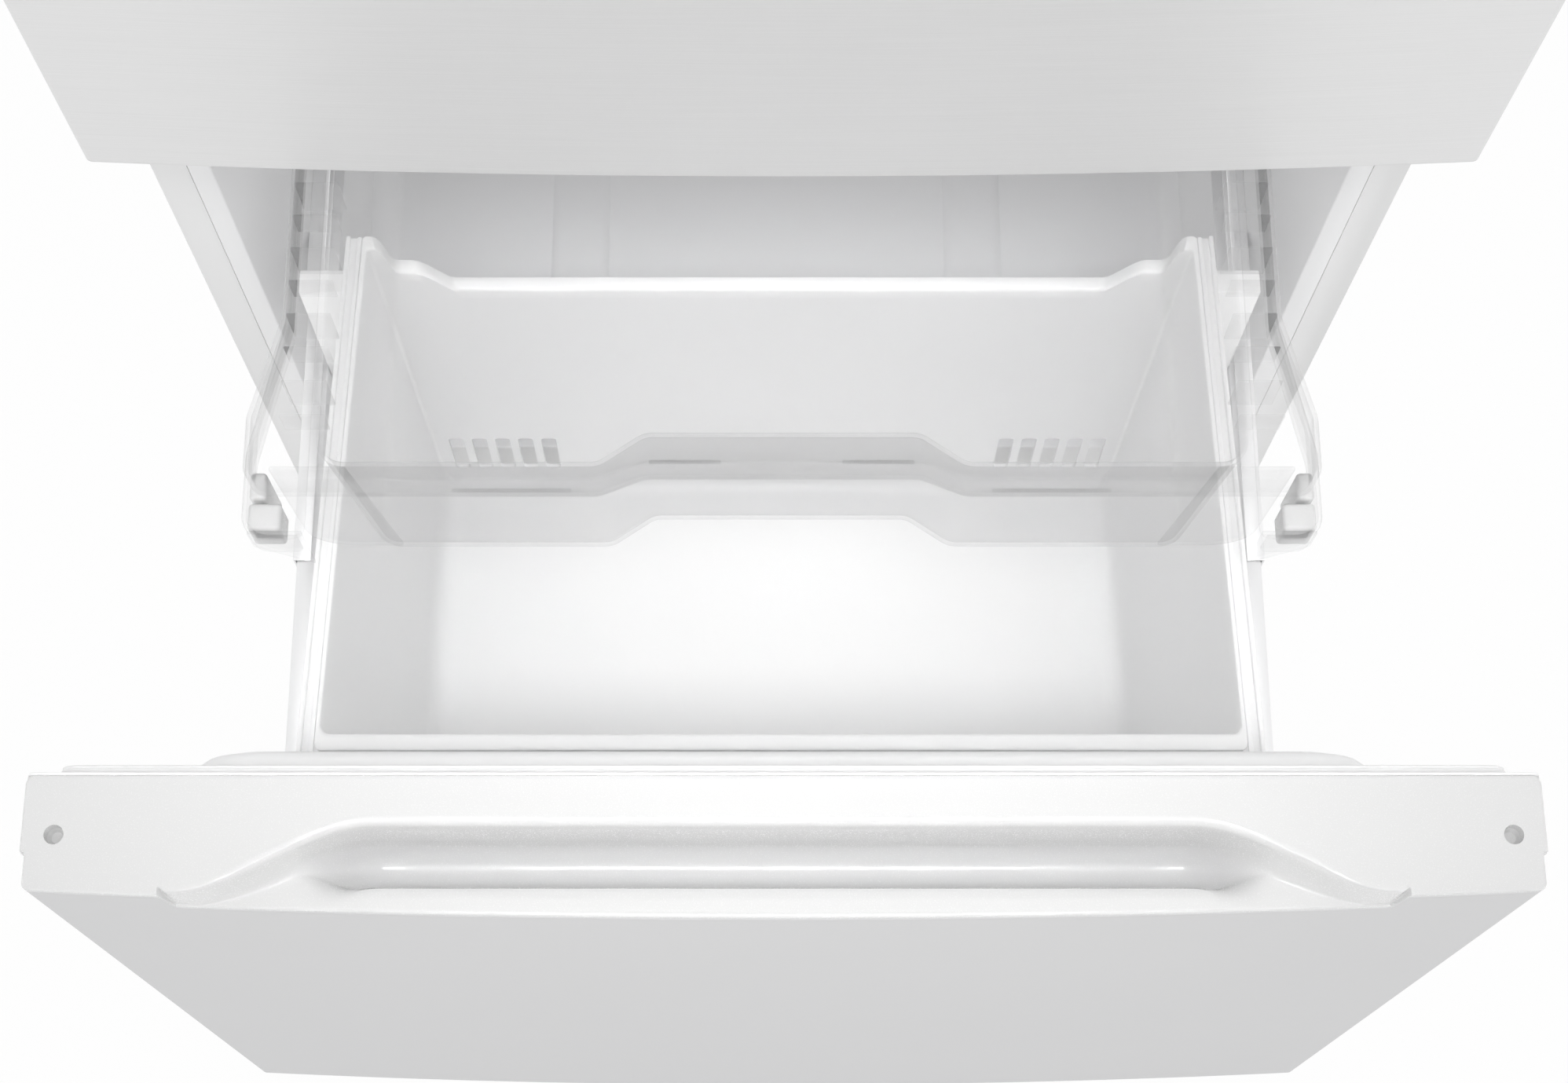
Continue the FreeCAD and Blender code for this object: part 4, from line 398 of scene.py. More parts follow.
def brushed_lines():
    """Colour, roughness and normal of steel brushed from side to side, on upright faces."""
    tree, given, result = skin_group("brushed_lines", "Colour", "Contrast", "Roughness")
    nodes, links = tree.nodes, tree.links
    stretch = nodes.new("ShaderNodeMapping")
    stretch.inputs["Scale"].default_value = (14, 14, 2600)
    lines = nodes.new("ShaderNodeTexNoise")
    lines.inputs["Scale"].default_value = 1.0
    lines.inputs["Detail"].default_value = 4.0
    links.new(nodes.new("ShaderNodeTexCoord").outputs["Object"], stretch.inputs["Vector"])
    links.new(stretch.outputs["Vector"], lines.inputs["Vector"])
    centred = worked(nodes, links, "SUBTRACT", lines.outputs["Fac"], 0.5)
    swing = worked(nodes, links, "MULTIPLY_ADD", centred, given["Contrast"], 1.0)
    scaled(nodes, links, given["Colour"], swing, result["Colour"])
    uneven = worked(nodes, links, "MULTIPLY_ADD", centred, 0.2, given["Roughness"])
    links.new(uneven, result["Roughness"])
    grooves = nodes.new("ShaderNodeBump")
    grooves.inputs["Distance"].default_value = 0.0002
    grooves.inputs["Strength"].default_value = 0.1
    links.new(lines.outputs["Fac"], grooves.inputs["Height"])
    links.new(grooves.outputs["Normal"], result["Normal"])
    return tree


door_steel = surfaced("door_steel", brushed_lines(),
                      {"Colour": (0.80, 0.80, 0.80, 1), "Contrast": 0.12, "Roughness": 0.42}, 0.35)
(_, DOOR_FRONT, DOOR_LOW), (HALF, DOOR_BACK, DOOR_TOP) = reach("door_skin")
BOW = 9
SHEET = 1
CORNER = 4
BOW_RADIUS = HALF * HALF / (2 * BOW) + BOW / 2


def bow_line(x):
    """How far behind the foremost line the bowed front lies."""
    return BOW_RADIUS - math.sqrt(BOW_RADIUS ** 2 - x * x)


def front_plan(front, back, marks):
    """A door's plan from one rear edge round the bowed front to the other, as (x, y)."""
    edge = HALF - CORNER
    corner_y = front + bow_line(edge) + CORNER
    turn = [(edge + CORNER * math.sin(a), corner_y - CORNER * math.cos(a))
            for a in (math.radians(15 * k) for k in range(7))]
    right = turn + [(HALF, between(turn[-1][1], back, 0.5)), (HALF, back)]
    middle = [(x, front + bow_line(x)) for x in marks]
    return [(-x, y) for x, y in reversed(right)] + middle + right


def even_marks(limit, count):
    """Places across the door, evenly spaced between two limits."""
    return [between(-limit, limit, i / (count - 1)) for i in range(count)]


def slot_cutter(name, x, y, z, radius):
    """A block with rounded ends, seen along X, that opens a slot."""
    plan = rounded_box(*y, *z, radius)
    return solid_form(name, [[(across, u, v) for u, v in plan] for across in x])


plan = front_plan(DOOR_FRONT, DOOR_BACK, even_marks(HALF - 30, 31))
levels = [DOOR_LOW, DOOR_LOW + 3, *[between(DOOR_LOW, DOOR_TOP, k / 12) for k in range(1, 12)],
          DOOR_TOP - 3, DOOR_TOP]
door = thickened(sheet_form("door_skin_wrap", [[(x, y, z) for x, y in plan] for z in levels]),
                 SHEET)
(GRIP_OUT, GRIP_FRONT, GRIP_LOW), (GRIP_IN, GRIP_BACK, GRIP_TOP) = reach("door_grip")
GRIP_ROUND = 13
cut_out(door, slot_cutter("grip_cut", (GRIP_OUT - 5, GRIP_OUT + 5), (GRIP_FRONT, GRIP_BACK),
                          (GRIP_LOW, GRIP_TOP), GRIP_ROUND))
settled(eased(door, 0.45, 2, 60), door_steel, "upper_door", ["door_skin"])


# ------------------------------------------------------------------ pocket grip
# A moulded cup let into the slot of the door's free edge, deep enough for four fingers, with
# a thin collar round its mouth.
def grip_ring(x, inset):
    """A ring of the cup at a place across the door."""
    plan = rounded_box(GRIP_FRONT + inset, GRIP_BACK - inset, GRIP_LOW + inset, GRIP_TOP - inset,
                       GRIP_ROUND - inset / 2)
    return [(x, u, v) for u, v in plan]


cup = sheet_form("door_grip_cup",
                 [grip_ring(x, inset) for x, inset in (
                     (GRIP_OUT + 0.3, -0.6), (GRIP_OUT - 0.6, -0.4), (GRIP_OUT - 0.6, 1.2),
                     (GRIP_OUT + 1, 2), (GRIP_IN - 6, 2.6), (GRIP_IN - 3, 4),
                     (GRIP_IN - 1.8, 7.5))], around=True, ends=(False, True))
settled(cup, white_moulding, "upper_door", ["door_grip"])


# ------------------------------------------------------------------ drawer front skin
# The same bowed sheet, given a darker grey than the door: painted shade on the front. Its top
# edge steps down by the height of the handle's lip along the scoop.
# The grey is darker than the door's steel as painted shade: light from above leaves the upright
# front dim.
drawer_steel = moulded("drawer_steel", (0.64, 0.64, 0.645), 0.42, 900, 0.05, 0.02, 0.1)
(_, DRAWER_FRONT, DRAWER_LOW), (_, WRAP_BACK, SKIN_TOP) = reach("drawer_skin")
_, (CHEEK_HALF, CAP_REAR, DRAWER_TOP) = reach("drawer_cap")
LIP_DROP = 25
PLATE = 3
STEP_IN = 306
STEP_OUT = 310.5


def open_share(x):
    """1 where the handle's scoop is open to the front, 0 beside it."""
    return 1 - smooth_step((abs(x) - STEP_IN) / (STEP_OUT - STEP_IN))


STEP_MARKS = [STEP_IN, STEP_IN + 0.8, STEP_IN + 1.6, STEP_IN + 2.3, STEP_IN + 3, STEP_IN + 3.8,
              STEP_OUT]
side_marks = [*[between(20, STEP_IN - 6, k / 14) for k in range(15)], *STEP_MARKS, 330, 352]
marks = [-x for x in reversed(side_marks)] + [0] + side_marks
plan = front_plan(DRAWER_FRONT, WRAP_BACK, marks)
rows = []
for share in (0, 0.004, 0.2, 0.4, 0.6, 0.8, 0.93, 0.99, 1):
    rows.append([(x, y, between(DRAWER_LOW, SKIN_TOP - LIP_DROP * open_share(x), share))
                 for x, y in plan])
front = thickened(sheet_form("drawer_skin_wrap", rows), SHEET)
settled(eased(front, 0.4, 2, 60), drawer_steel, "freezer_drawer", ["drawer_skin"])


# ------------------------------------------------------------------ drawer cap with the scoop
# One white moulding covers the top of the drawer front. It dips in a long S-curve to a lip,
# and behind the lip a round channel takes the fingertips. Two clip holes sit at the ends.
FRONT_CORNER = DRAWER_FRONT + BOW
WRAP = WRAP_BACK - FRONT_CORNER
DEPTH = CAP_REAR - FRONT_CORNER
CAP_WALL = 2.4
REAR_ROUND = 5
SCOOP_BACK = 33
SCOOP_RUN = 34
SCOOP_BEND = 205
SCOOP_LENGTH = 100
CHANNEL_END = 41
CHANNEL_ROUND = 12.5
CHANNEL_DEPTH = 54
BROW_DROP = 3.6
BROW_FADE = 262
BROW_FADE_RUN = 26
END_BROW = 0.28
RUN_IN = 300
RUN_IN_LENGTH = 60
SHARP = 0.7
FAR_BEHIND = 99


def cap_half(v, t):
    """Half the cap's width, from the distance behind the front corner and the front edge."""
    if v > DEPTH - REAR_ROUND:
        drop = v - DEPTH + REAR_ROUND
        return CHEEK_HALF - REAR_ROUND + math.sqrt(max(REAR_ROUND ** 2 - drop ** 2, 0))
    if v > WRAP:
        return CHEEK_HALF
    if t < CORNER:
        return HALF - CORNER + math.sqrt(CORNER ** 2 - (CORNER - t) ** 2)
    return HALF


REAR_ROWS = [(DEPTH, -PLATE), (DEPTH, -0.8), (DEPTH - 0.3, -0.2), (DEPTH - 1, 0),
             (DEPTH - 2.2, 0), (DEPTH - 3.6, 0), (DEPTH - REAR_ROUND, 0)]
FRONT_SPREAD = [5.6, 5.3, 5, 4.7, 4.5, 4.3, 4.1, 4, 3.8, 3.6, 3.3, 3, 2.8, 2.5, 2.3, 2.1, 1.9,
                1.7, 1.5, 1.3, 1.1, 0.9, 0.7]


def plain_section(x):
    """The cap's section beside the scoop: flat to a small round front edge."""
    edge = bow_line(min(abs(x), HALF - CORNER)) - BOW
    flat = [(between(DEPTH - REAR_ROUND, WRAP + 0.6, s), 0) for s in (0.35, 0.7, 1)]
    flat += [(WRAP, 0)]
    return flat, [(edge + t, 0, t) for t in FRONT_SPREAD] + [(edge + 0.3, -0.2, 0.3),
                                                             (edge, -0.8, 0),
                                                             (edge, -PLATE, 0)]


def scoop_section(x):
    """The cap's section through the scoop: wall, channel, lip and front edge."""
    side = abs(x)
    edge = bow_line(side) - BOW
    rear = SCOOP_BACK - SCOOP_RUN * smooth_step((side - SCOOP_BEND) / SCOOP_LENGTH)
    share = 1 - smooth_step((side - SCOOP_BEND) / CHANNEL_END)
    size = between(1, END_BROW, smooth_step((side - BROW_FADE) / BROW_FADE_RUN))
    flat = [(between(DEPTH - REAR_ROUND, rear + 4 * size, s), 0) for s in (0.35, 0.7, 0.95, 1)]
    brow = [(rear + 2.2 * size, -0.35 * size), (rear + 0.8 * size, -1.5 * size),
            (rear, -BROW_DROP * size)]
    middle = rear - CHANNEL_ROUND - 1
    low = CHANNEL_ROUND - CHANNEL_DEPTH
    deep = [(rear - 0.4, -10), (rear - 0.6, -18), (rear - 0.8, -26), (rear - 1, -34)]
    deep += [(middle + CHANNEL_ROUND * math.cos(a), low - CHANNEL_ROUND * math.sin(a))
             for a in (math.pi * k / 8 for k in range(9))]
    deep += [(middle - CHANNEL_ROUND, -33), (middle - CHANNEL_ROUND, -28.5),
             (middle - CHANNEL_ROUND - 1, -26), (middle - CHANNEL_ROUND - 3, -LIP_DROP)]
    foot = max(rear - 3 - 6 * share - 6 * smooth_step((RUN_IN - side) / RUN_IN_LENGTH),
               edge + 1.2)
    knee = between(rear, foot, 0.45)
    shallow = []
    for k in range(13):
        t = k / 12
        shallow.append(((1 - t) ** 2 * rear + 2 * t * (1 - t) * knee + t * t * foot,
                        (1 - t) ** 2 * -BROW_DROP * size + (1 - (1 - t) ** 2) * -LIP_DROP))
    shallow += [(between(foot, edge + 1.2, s), -LIP_DROP) for s in (0.25, 0.5, 0.75, 0.95)]
    share = share ** SHARP
    body = [(between(a[0], b[0], share), between(a[1], b[1], share))
            for a, b in zip(shallow, deep)]
    last = body[-1][0]
    rim = [(between(last, edge + 1, 0.4), -LIP_DROP), (between(last, edge + 1, 0.9), -LIP_DROP),
           (edge + 0.9, -LIP_DROP - 0.1), (edge + 0.3, -LIP_DROP - 0.5),
           (edge, -LIP_DROP - 1.2), (edge, -LIP_DROP - PLATE)]
    return flat, brow + body + rim


def cap_column(u_x, drop):
    """One column of the cap as (x, y, z), for a place across it and a drop of its side."""
    side = abs(u_x)
    sign = 1 if u_x >= 0 else -1
    flat, spread = plain_section(u_x)
    share = open_share(side)
    column = [(v, w, FAR_BEHIND) for v, w in REAR_ROWS + flat] + spread
    if share > 0:
        scoop_flat, scoop_rest = scoop_section(u_x)
        column = [(between(a[0], b[0], share), between(a[1], b[1], share), FAR_BEHIND)
                  for a, b in zip(column, REAR_ROWS + scoop_flat + scoop_rest)]
    points = []
    for v, w, t in column:
        x = side
        if side > ZONE:
            x = between(ZONE, cap_half(v, t), (side - ZONE) / (HALF - ZONE))
        points.append((sign * x, FRONT_CORNER + v, DRAWER_TOP + min(w, drop)))
    return points


ZONE = 360
side_marks = [*[between(0, SCOOP_BEND, k / 12) for k in range(1, 13)],
              *[between(SCOOP_BEND, STEP_IN - 3, k / 24) for k in range(1, 25)], *STEP_MARKS,
              316, 325, 335, 348, ZONE, 366, 371, 374.5, 376.6]
edge_marks = [(HALF - 0.5, 0), (HALF - 0.15, -0.2), (HALF, -0.8), (HALF, -PLATE)]
columns = [(-x, drop) for x, drop in reversed(edge_marks)]
columns += [(x, 0) for x in [-m for m in reversed(side_marks)] + [0] + side_marks]
columns += edge_marks
cap = sheet_form("drawer_cap_moulding", [cap_column(x, drop) for x, drop in columns])
if sum(face.normal.z for face in cap.data.polygons) < 0:
    cap.data.flip_normals()
thickened(cap, CAP_WALL, False)
HOLE_ROUND = 5
HOLE_SIDE = 364
HOLE_Y = FRONT_CORNER + 28
HOLE_DEPTH = 8
HOLE_SKIN = 6


def round_ring(x, y, z, radius, count=28):
    """A level circle of points."""
    return [(x + radius * math.cos(2 * math.pi * k / count),
             y + radius * math.sin(2 * math.pi * k / count), z) for k in range(count)]


cut_out(cap, *[solid_form("hole_cut", [round_ring(side * HOLE_SIDE, HOLE_Y, z, HOLE_ROUND)
                                       for z in (DRAWER_TOP - HOLE_SKIN, DRAWER_TOP + 2)])
               for side in (-1, 1)])
settled(cap, white_moulding, "freezer_drawer", ["drawer_cap"], 30)
SIDES = ((-1, "left"), (1, "right"))
for side, label in SIDES:
    socket = sheet_form(f"cap_hole_socket_{label}",
                        [round_ring(side * HOLE_SIDE, HOLE_Y, DRAWER_TOP - depth, radius)
                         for depth, radius in ((0.4, HOLE_ROUND), (HOLE_SKIN, HOLE_ROUND - 0.3),
                                               (HOLE_DEPTH, 3))],
                        around=True, ends=(False, True))
    settled(socket, white_moulding, "freezer_drawer", [])


# ------------------------------------------------------------------ drawer inner panel
# The rear of the drawer front is a vacuum-formed white sheet. Its raised dyke, with round
# shoulders, fits inside the freezer's mouth.
def upright_ring(half, low, high, radius, y):
    """A rounded upright rectangle at one depth."""
    return [(u, y, v) for u, v in rounded_box(-half, half, low, high, radius, 7)]


liner_plastic = moulded("liner_plastic", (0.94, 0.94, 0.943), 0.32, 1200, 0.04)
(_, PANEL_FRONT, PANEL_LOW), (_, DYKE_REAR, PANEL_TOP) = reach("drawer_liner")
PANEL_REAR = PANEL_FRONT + 1.5
DYKE_HALF = 320
DYKE_LOW = DRAWER_LOW + 75
DYKE_TOP = DRAWER_TOP - 37
edge_rings = [upright_ring(CHEEK_HALF - inset, PANEL_LOW + 0.75 * inset,
                           PANEL_TOP - 1.25 * inset, 4, y)
              for inset, y in ((0.4, PANEL_FRONT), (0, PANEL_FRONT + 0.4), (0, PANEL_REAR - 0.4),
                               (0.4, PANEL_REAR))]
dyke_rings = [upright_ring(DYKE_HALF - inset, DYKE_LOW + rise, DYKE_TOP - drop, radius, y)
              for inset, rise, drop, radius, y in (
                  (-6, -6, -6, 40, PANEL_REAR), (-1, -1, -1, 38, PANEL_REAR + 2),
                  (1, 1, 1, 36, PANEL_REAR + 7), (7, 7, 5, 34, DYKE_REAR - 8),
                  (13, 13, 10, 30, DYKE_REAR - 3), (22, 22, 18, 26, DYKE_REAR),
                  (45, 25, 24, 20, DYKE_REAR), (50, 28, 28, 18, DYKE_REAR - 4),
                  (52, 30, 30, 16, PANEL_REAR + 6), (57, 35, 35, 12, PANEL_REAR + 2))]
panel = solid_form("drawer_inner_panel", edge_rings + dyke_rings)
settled(panel, liner_plastic, "freezer_drawer", ["drawer_liner"])


# ------------------------------------------------------------------ door seals
# Extruded magnetic seals: a soft bellows strip, welded at its corners, that pushes into the
# inner panel's edge and meets the cabinet's front.
seal_rubber = moulded("seal_rubber", (0.90, 0.90, 0.90), 0.6, 1500, 0.08)
SEAL_SECTION = ((0, 0), (0, 0.3), (0.8, 0.42), (0, 0.55), (0, 0.68), (0.9, 0.8), (0.6, 0.93),
                (1.6, 1), (13, 1), (14.2, 0.93), (14, 0.8), (15, 0.68), (15, 0.55), (14, 0.42),
                (15, 0.3), (15, 0))


def seal(name, node, body):
    """A seal with the bellows section all the way round a door's edge."""
    (_, front, low), (half, rear, high) = reach(node)
    rows = []
    for across, along in SEAL_SECTION:
        rows.append(upright_ring(half - across, low + across, high - across, max(9 - across, 1),
                                 between(front, rear, along)))
    settled(sheet_form(name, rows, around=True), seal_rubber, body, [node], 50)


seal("drawer_seal_strip", "drawer_gasket", "freezer_drawer")
seal("door_seal_strip", "door_gasket", "upper_door")


# ------------------------------------------------------------------ foam in the drawer front
# Foamed in place between the steel skin and the inner panel. It stops below the scoop, which
# hangs down into it.
(_, _, FOAM_LOW), (_, FOAM_REAR, _) = reach("drawer_foam")
FOAM_GAP = 1.5
SCOOP_CLEAR = 62
plan = [(x * (HALF - FOAM_GAP) / HALF, y) for x, y in
        front_plan(DRAWER_FRONT + FOAM_GAP, FOAM_REAR, even_marks(HALF - 30, 13))]
foam = solid_form("drawer_foam_fill", [[(x, y, z) for x, y in plan]
                                       for z in (FOAM_LOW, DRAWER_TOP - SCOOP_CLEAR)])
settled(foam, insulation, "freezer_drawer", ["drawer_foam"])


# ------------------------------------------------------------------ freezer bin
# A deep white injection-moulded tub with drafted walls, tight corners and a turned-out rim.
# The rear wall is lower in the middle, and two groups of slots near its foot let cold air in.
bin_plastic = moulded("bin_plastic", (0.97, 0.97, 0.971), 0.33, 1300, 0.03)
(_, BIN_FRONT, BIN_LOW), (BIN_HALF, BIN_REAR, BIN_TOP) = reach("freezer_bin")
BIN_WALL = 2.6
BIN_RIM = 10
SIDE_RIM = 3
BIN_DRAFT = 13
BIN_REAR_HALF = BIN_HALF - 12
BIN_FLOOR_HALF = BIN_HALF - 15
REAR_MARKS = [(206, 60), (210, 58.5), (216, 50), (222, 41), (227, 35.5), (231, 34), (240, 34),
              (243, 31.5), (245, 24), (247, 10), (249, 3), (251.5, 0)]


def rear_dip(x):
    """How far the rear wall's rim lies under the bin's top, at a place across it."""
    side = abs(x)
    if side <= REAR_MARKS[0][0]:
        return REAR_MARKS[0][1]
    for (a, drop_a), (b, drop_b) in zip(REAR_MARKS, REAR_MARKS[1:]):
        if side <= b:
            return between(drop_a, drop_b, (side - a) / (b - a))
    return 0


def bin_plan(share, grow, radius):
    """The bin's plan at a share of its height, grown by a distance, from the front round."""
    sideways = min(grow, grow * SIDE_RIM / BIN_RIM)
    front_half = between(BIN_FLOOR_HALF, BIN_HALF - SIDE_RIM, share) + sideways
    rear_half = between(BIN_FLOOR_HALF - 4, BIN_REAR_HALF - SIDE_RIM, share) + sideways
    front = between(BIN_FRONT + BIN_DRAFT, BIN_FRONT + BIN_RIM, share) - grow
    rear = between(BIN_REAR - BIN_DRAFT, BIN_REAR - BIN_RIM, share) + grow
    scale = rear_half / (BIN_REAR_HALF - SIDE_RIM)
    rear_line = [(x * scale, rear) for x in (*[m for m, _ in reversed(REAR_MARKS)], 190,
                                             150, 100, 50)]
    rear_line += [(0, rear)] + [(-x, y) for x, y in reversed(rear_line)]
    corners = [(-front_half, front), (front_half, front), (rear_half, rear), *rear_line,
               (-rear_half, rear)]
    radii = [radius, radius, min(radius, 5), *[0] * len(rear_line), min(radius, 5)]
    return rounded(corners, radii, 6), rear, scale


def bin_ring(share, grow, radius, under):
    """A ring of the bin's skin, lying a little under its local top."""
    plan, rear, scale = bin_plan(share, grow, radius)
    ring = []
    for x, y in plan:
        dip = rear_dip(x / scale) if y > rear - 5 else 0
        top = BIN_TOP - dip - under
        ring.append((x, y, between(BIN_LOW, top, share) if share < 1 else top))
    return ring


BIN_RINGS = ((0, -34, 8, 0), (0, -17, 20, 0), (0.006, -9, 22, 3), (0.02, -4, 22, 3),
             (0.045, -1, 22, 3), (0.08, 0, 21, 3), (0.2, 0, 19, 3), (0.4, 0, 15, 3),
             (0.6, 0, 11, 3), (0.8, 0, 8, 3), (0.97, 0, 6, 3), (1, 0.3, 6, 1.6), (1, 1.4, 6, 0.4),
             (1, 3, 6, 0), (1, BIN_RIM - 1, 4, 0), (1, BIN_RIM, 4, 0.8), (1, BIN_RIM, 4, 4.5))
tub = sheet_form("freezer_bin_tub", [bin_ring(*ring) for ring in BIN_RINGS], around=True,
                 ends=(True, False))
thickened(tub, BIN_WALL)
VENTS = 5
VENT_PITCH = 17
VENT_SIDE = 163
VENT_WIDTH = 11
VENT_LOW = 17
VENT_HEIGHT = 56
VENT_ROUND = 3
vents = []
for side in (-1, 1):
    for k in range(VENTS):
        left = side * (VENT_SIDE + VENT_WIDTH / 2 + k * VENT_PITCH) - VENT_WIDTH / 2
        low = BIN_LOW + VENT_LOW
        plan = rounded_box(left, left + VENT_WIDTH, low, low + VENT_HEIGHT, VENT_ROUND, 3)
        vents.append(solid_form("vent_cut", [[(u, y, v) for u, v in plan]
                                             for y in (BIN_REAR - 45, BIN_REAR + 5)]))
cut_out(tub, *vents)
settled(tub, bin_plastic, "freezer_drawer", ["freezer_bin"], 42)


# ------------------------------------------------------------------ bin frame
# A white moulded frame screwed to the drawer front. Its two long rails carry the bin's rim,
# with a groove along each, and its posts stand on the slides' inner members.
def plate_form(name, plan, low, high, width, segments=2):
    """A flat plate through a plan, between two heights, with eased edges."""
    return eased(solid_form(name, [[(x, y, z) for x, y in plan] for z in (low, high)]), width,
                 segments)


def block_form(name, x, y, z, width, segments=2):
    """A block between limits, with eased edges."""
    plan = [(x[0], y[0]), (x[1], y[0]), (x[1], y[1]), (x[0], y[1])]
    return plate_form(name, plan, z[0], z[1], width, segments)


def mirror_x(points, side):
    """Points on one side of the middle, or their mirror image in the same turning sense."""
    return points if side > 0 else [(-x, *rest) for x, *rest in reversed(points)]


(_, FRAME_FRONT, FRAME_LOW), (FRAME_HALF, _, RAIL_TOP) = reach("bin_frame")
RAIL_HEIGHT = 26
RAIL_WIDTH = 10
RAIL_GAP = 0.3
POST = 16
BAR = 8
ARM = 22
frame_blocks = [block_form("bin_frame_bar", (-FRAME_HALF, FRAME_HALF),
                           (FRAME_FRONT, FRAME_FRONT + BAR), (FRAME_LOW, FRAME_LOW + ARM), 1.5)]
for side, label in SIDES:
    front_in, rear_in = (half - SIDE_RIM + RAIL_GAP for half in (BIN_HALF, BIN_REAR_HALF))
    wide = SIDE_RIM + RAIL_WIDTH
    for low, high, inner, outer in ((RAIL_TOP - RAIL_HEIGHT, RAIL_TOP, 0, wide),
                                    (RAIL_TOP - 4, RAIL_TOP + 3.5, wide - 3, wide - 0.2),
                                    (RAIL_TOP - 4, RAIL_TOP + 1.8, SIDE_RIM, wide - 7)):
        plan = mirror_x([(front_in + inner, FRAME_FRONT), (front_in + outer, FRAME_FRONT),
                         (front_in + outer, BIN_FRONT), (rear_in + outer, BIN_REAR),
                         (rear_in + inner, BIN_REAR), (front_in + inner, BIN_FRONT)], side)
        frame_blocks.append(plate_form(f"bin_rail_{label}_{len(frame_blocks)}", plan, low, high,
                                       0.9))
    for near, rail_at in ((FRAME_FRONT, front_in), (BIN_REAR - BIN_RIM - POST, rear_in)):
        x = sorted((side * (rail_at + SIDE_RIM - 0.6), side * FRAME_HALF))
        frame_blocks.append(block_form(f"bin_post_{label}_{len(frame_blocks)}", x,
                                       (near, near + POST),
                                       (FRAME_LOW, RAIL_TOP - RAIL_HEIGHT + 1), 1.5))
for k, form in enumerate(frame_blocks):
    settled(form, bin_plastic, "freezer_drawer", ["bin_frame"] if k == 0 else [])


# ------------------------------------------------------------------ clear tray
# A crystal-clear moulded tray with a turned-down lip. Its front steps back in the middle as a
# hand hold, and short ribs tie the lip to the side walls.
def clear_plastic(name, tint, face_on, edge_on):
    """A clear moulding: hardly seen face on, greyer where the eye runs along its wall."""
    finish = surfaced(name, GRAIN, {"Colour": (*tint, 1), "Mottle": 0.02})
    nodes, links = finish.node_tree.nodes, finish.node_tree.links
    shader = nodes["Principled BSDF"]
    for label, value in (("Roughness", 0.08), ("IOR", 1.49)):
        shader.inputs[label].default_value = value
    for label in ("Roughness", "Normal"):
        links.remove(shader.inputs[label].links[0])
    slant = nodes.new("ShaderNodeLayerWeight")
    slant.inputs["Blend"].default_value = 0.12
    body = nodes.new("ShaderNodeMapRange")
    body.inputs["To Min"].default_value = face_on
    body.inputs["To Max"].default_value = edge_on
    links.new(slant.outputs["Facing"], body.inputs["Value"])
    mixed(nodes, links, body.outputs["Result"], nodes.new("ShaderNodeBsdfTransparent"), shader,
          nodes["Material Output"].inputs["Surface"])
    return finish


tray_clear = clear_plastic("clear_moulding", (0.90, 0.90, 0.905), 0.02, 0.55)


def on_the_tray(piece, *nodes, crease=34):
    """Puts a clear piece on the tray's carriage."""
    settled(piece, tray_clear, "tray_carriage", nodes, crease)


(_, TRAY_FRONT, TRAY_LOW), (TRAY_WIDE, TRAY_REAR, TRAY_TOP) = reach("upper_tray")
TRAY_WALL = 2.4
TRAY_HALF = TRAY_WIDE - 41
TRAY_FLOOR_HALF = TRAY_HALF - 14
TRAY_RIM = 12
LIP = 25
JOG = 75
JOG_SLOPE = 25
JOG_WALL = 17
JOG_RIM = 10
FLARE_START = 18
FLARE_END = 98
FLARE = 16


def tray_ring(z, front, jog, front_half, rear_half, rear, radius):
    """The tray's plan at one height: stepped front, flared sides and round corners."""
    flare_a, flare_b = TRAY_FRONT + FLARE_START + 20, TRAY_FRONT + FLARE_END
    corners = [(-JOG - JOG_SLOPE, front), (-JOG, front + jog), (JOG, front + jog),
               (JOG + JOG_SLOPE, front), (front_half, front), (front_half, flare_a),
               (rear_half, flare_b), (rear_half, rear), (-rear_half, rear),
               (-rear_half, flare_b), (-front_half, flare_a), (-front_half, front)]
    radii = [14, 14, 14, 14, radius, 22, 22, radius, radius, 22, 22, radius]
    return [(x, y, z) for x, y in rounded(corners, radii, 6)]


def wall_ring(z, inset, radius):
    """A ring of the tray's wall."""
    share = (z - TRAY_LOW) / (TRAY_TOP - TRAY_LOW)
    half = between(TRAY_FLOOR_HALF, TRAY_HALF, share) - inset
    front = TRAY_FRONT + TRAY_RIM + between(4, 0, share) + inset
    return tray_ring(z, front, JOG_WALL, half + 0.01, half, TRAY_REAR - TRAY_RIM - inset, radius)


def rim_ring(z, inset):
    """A ring of the tray's turned-down lip."""
    return tray_ring(z, TRAY_FRONT + inset, JOG_RIM, TRAY_WIDE - inset,
                     TRAY_WIDE - FLARE - inset, TRAY_REAR - inset, max(9 - inset, 1))


walls = [wall_ring(TRAY_LOW + rise, inset, radius) for rise, inset, radius in (
    (0, 14, 10), (0, 7, 16), (1.2, 3, 19), (4, 0.9, 20), (9, 0, 20), (60, 0, 18))]
walls += [wall_ring(TRAY_TOP - drop, inset, radius) for drop, inset, radius in (
    (8, 0, 14), (2, -0.2, 13), (0.5, -1, 13), (0, -3, 13))]
rims = [rim_ring(TRAY_TOP - drop, inset) for drop, inset in (
    (0, 2.6), (0.5, 0.8), (2, 0), (LIP - 2, 0), (LIP, 0.3))]
tray = sheet_form("upper_tray_tub", walls + rims, around=True, ends=(True, False))
on_the_tray(thickened(tray, TRAY_WALL), "upper_tray", crease=40)

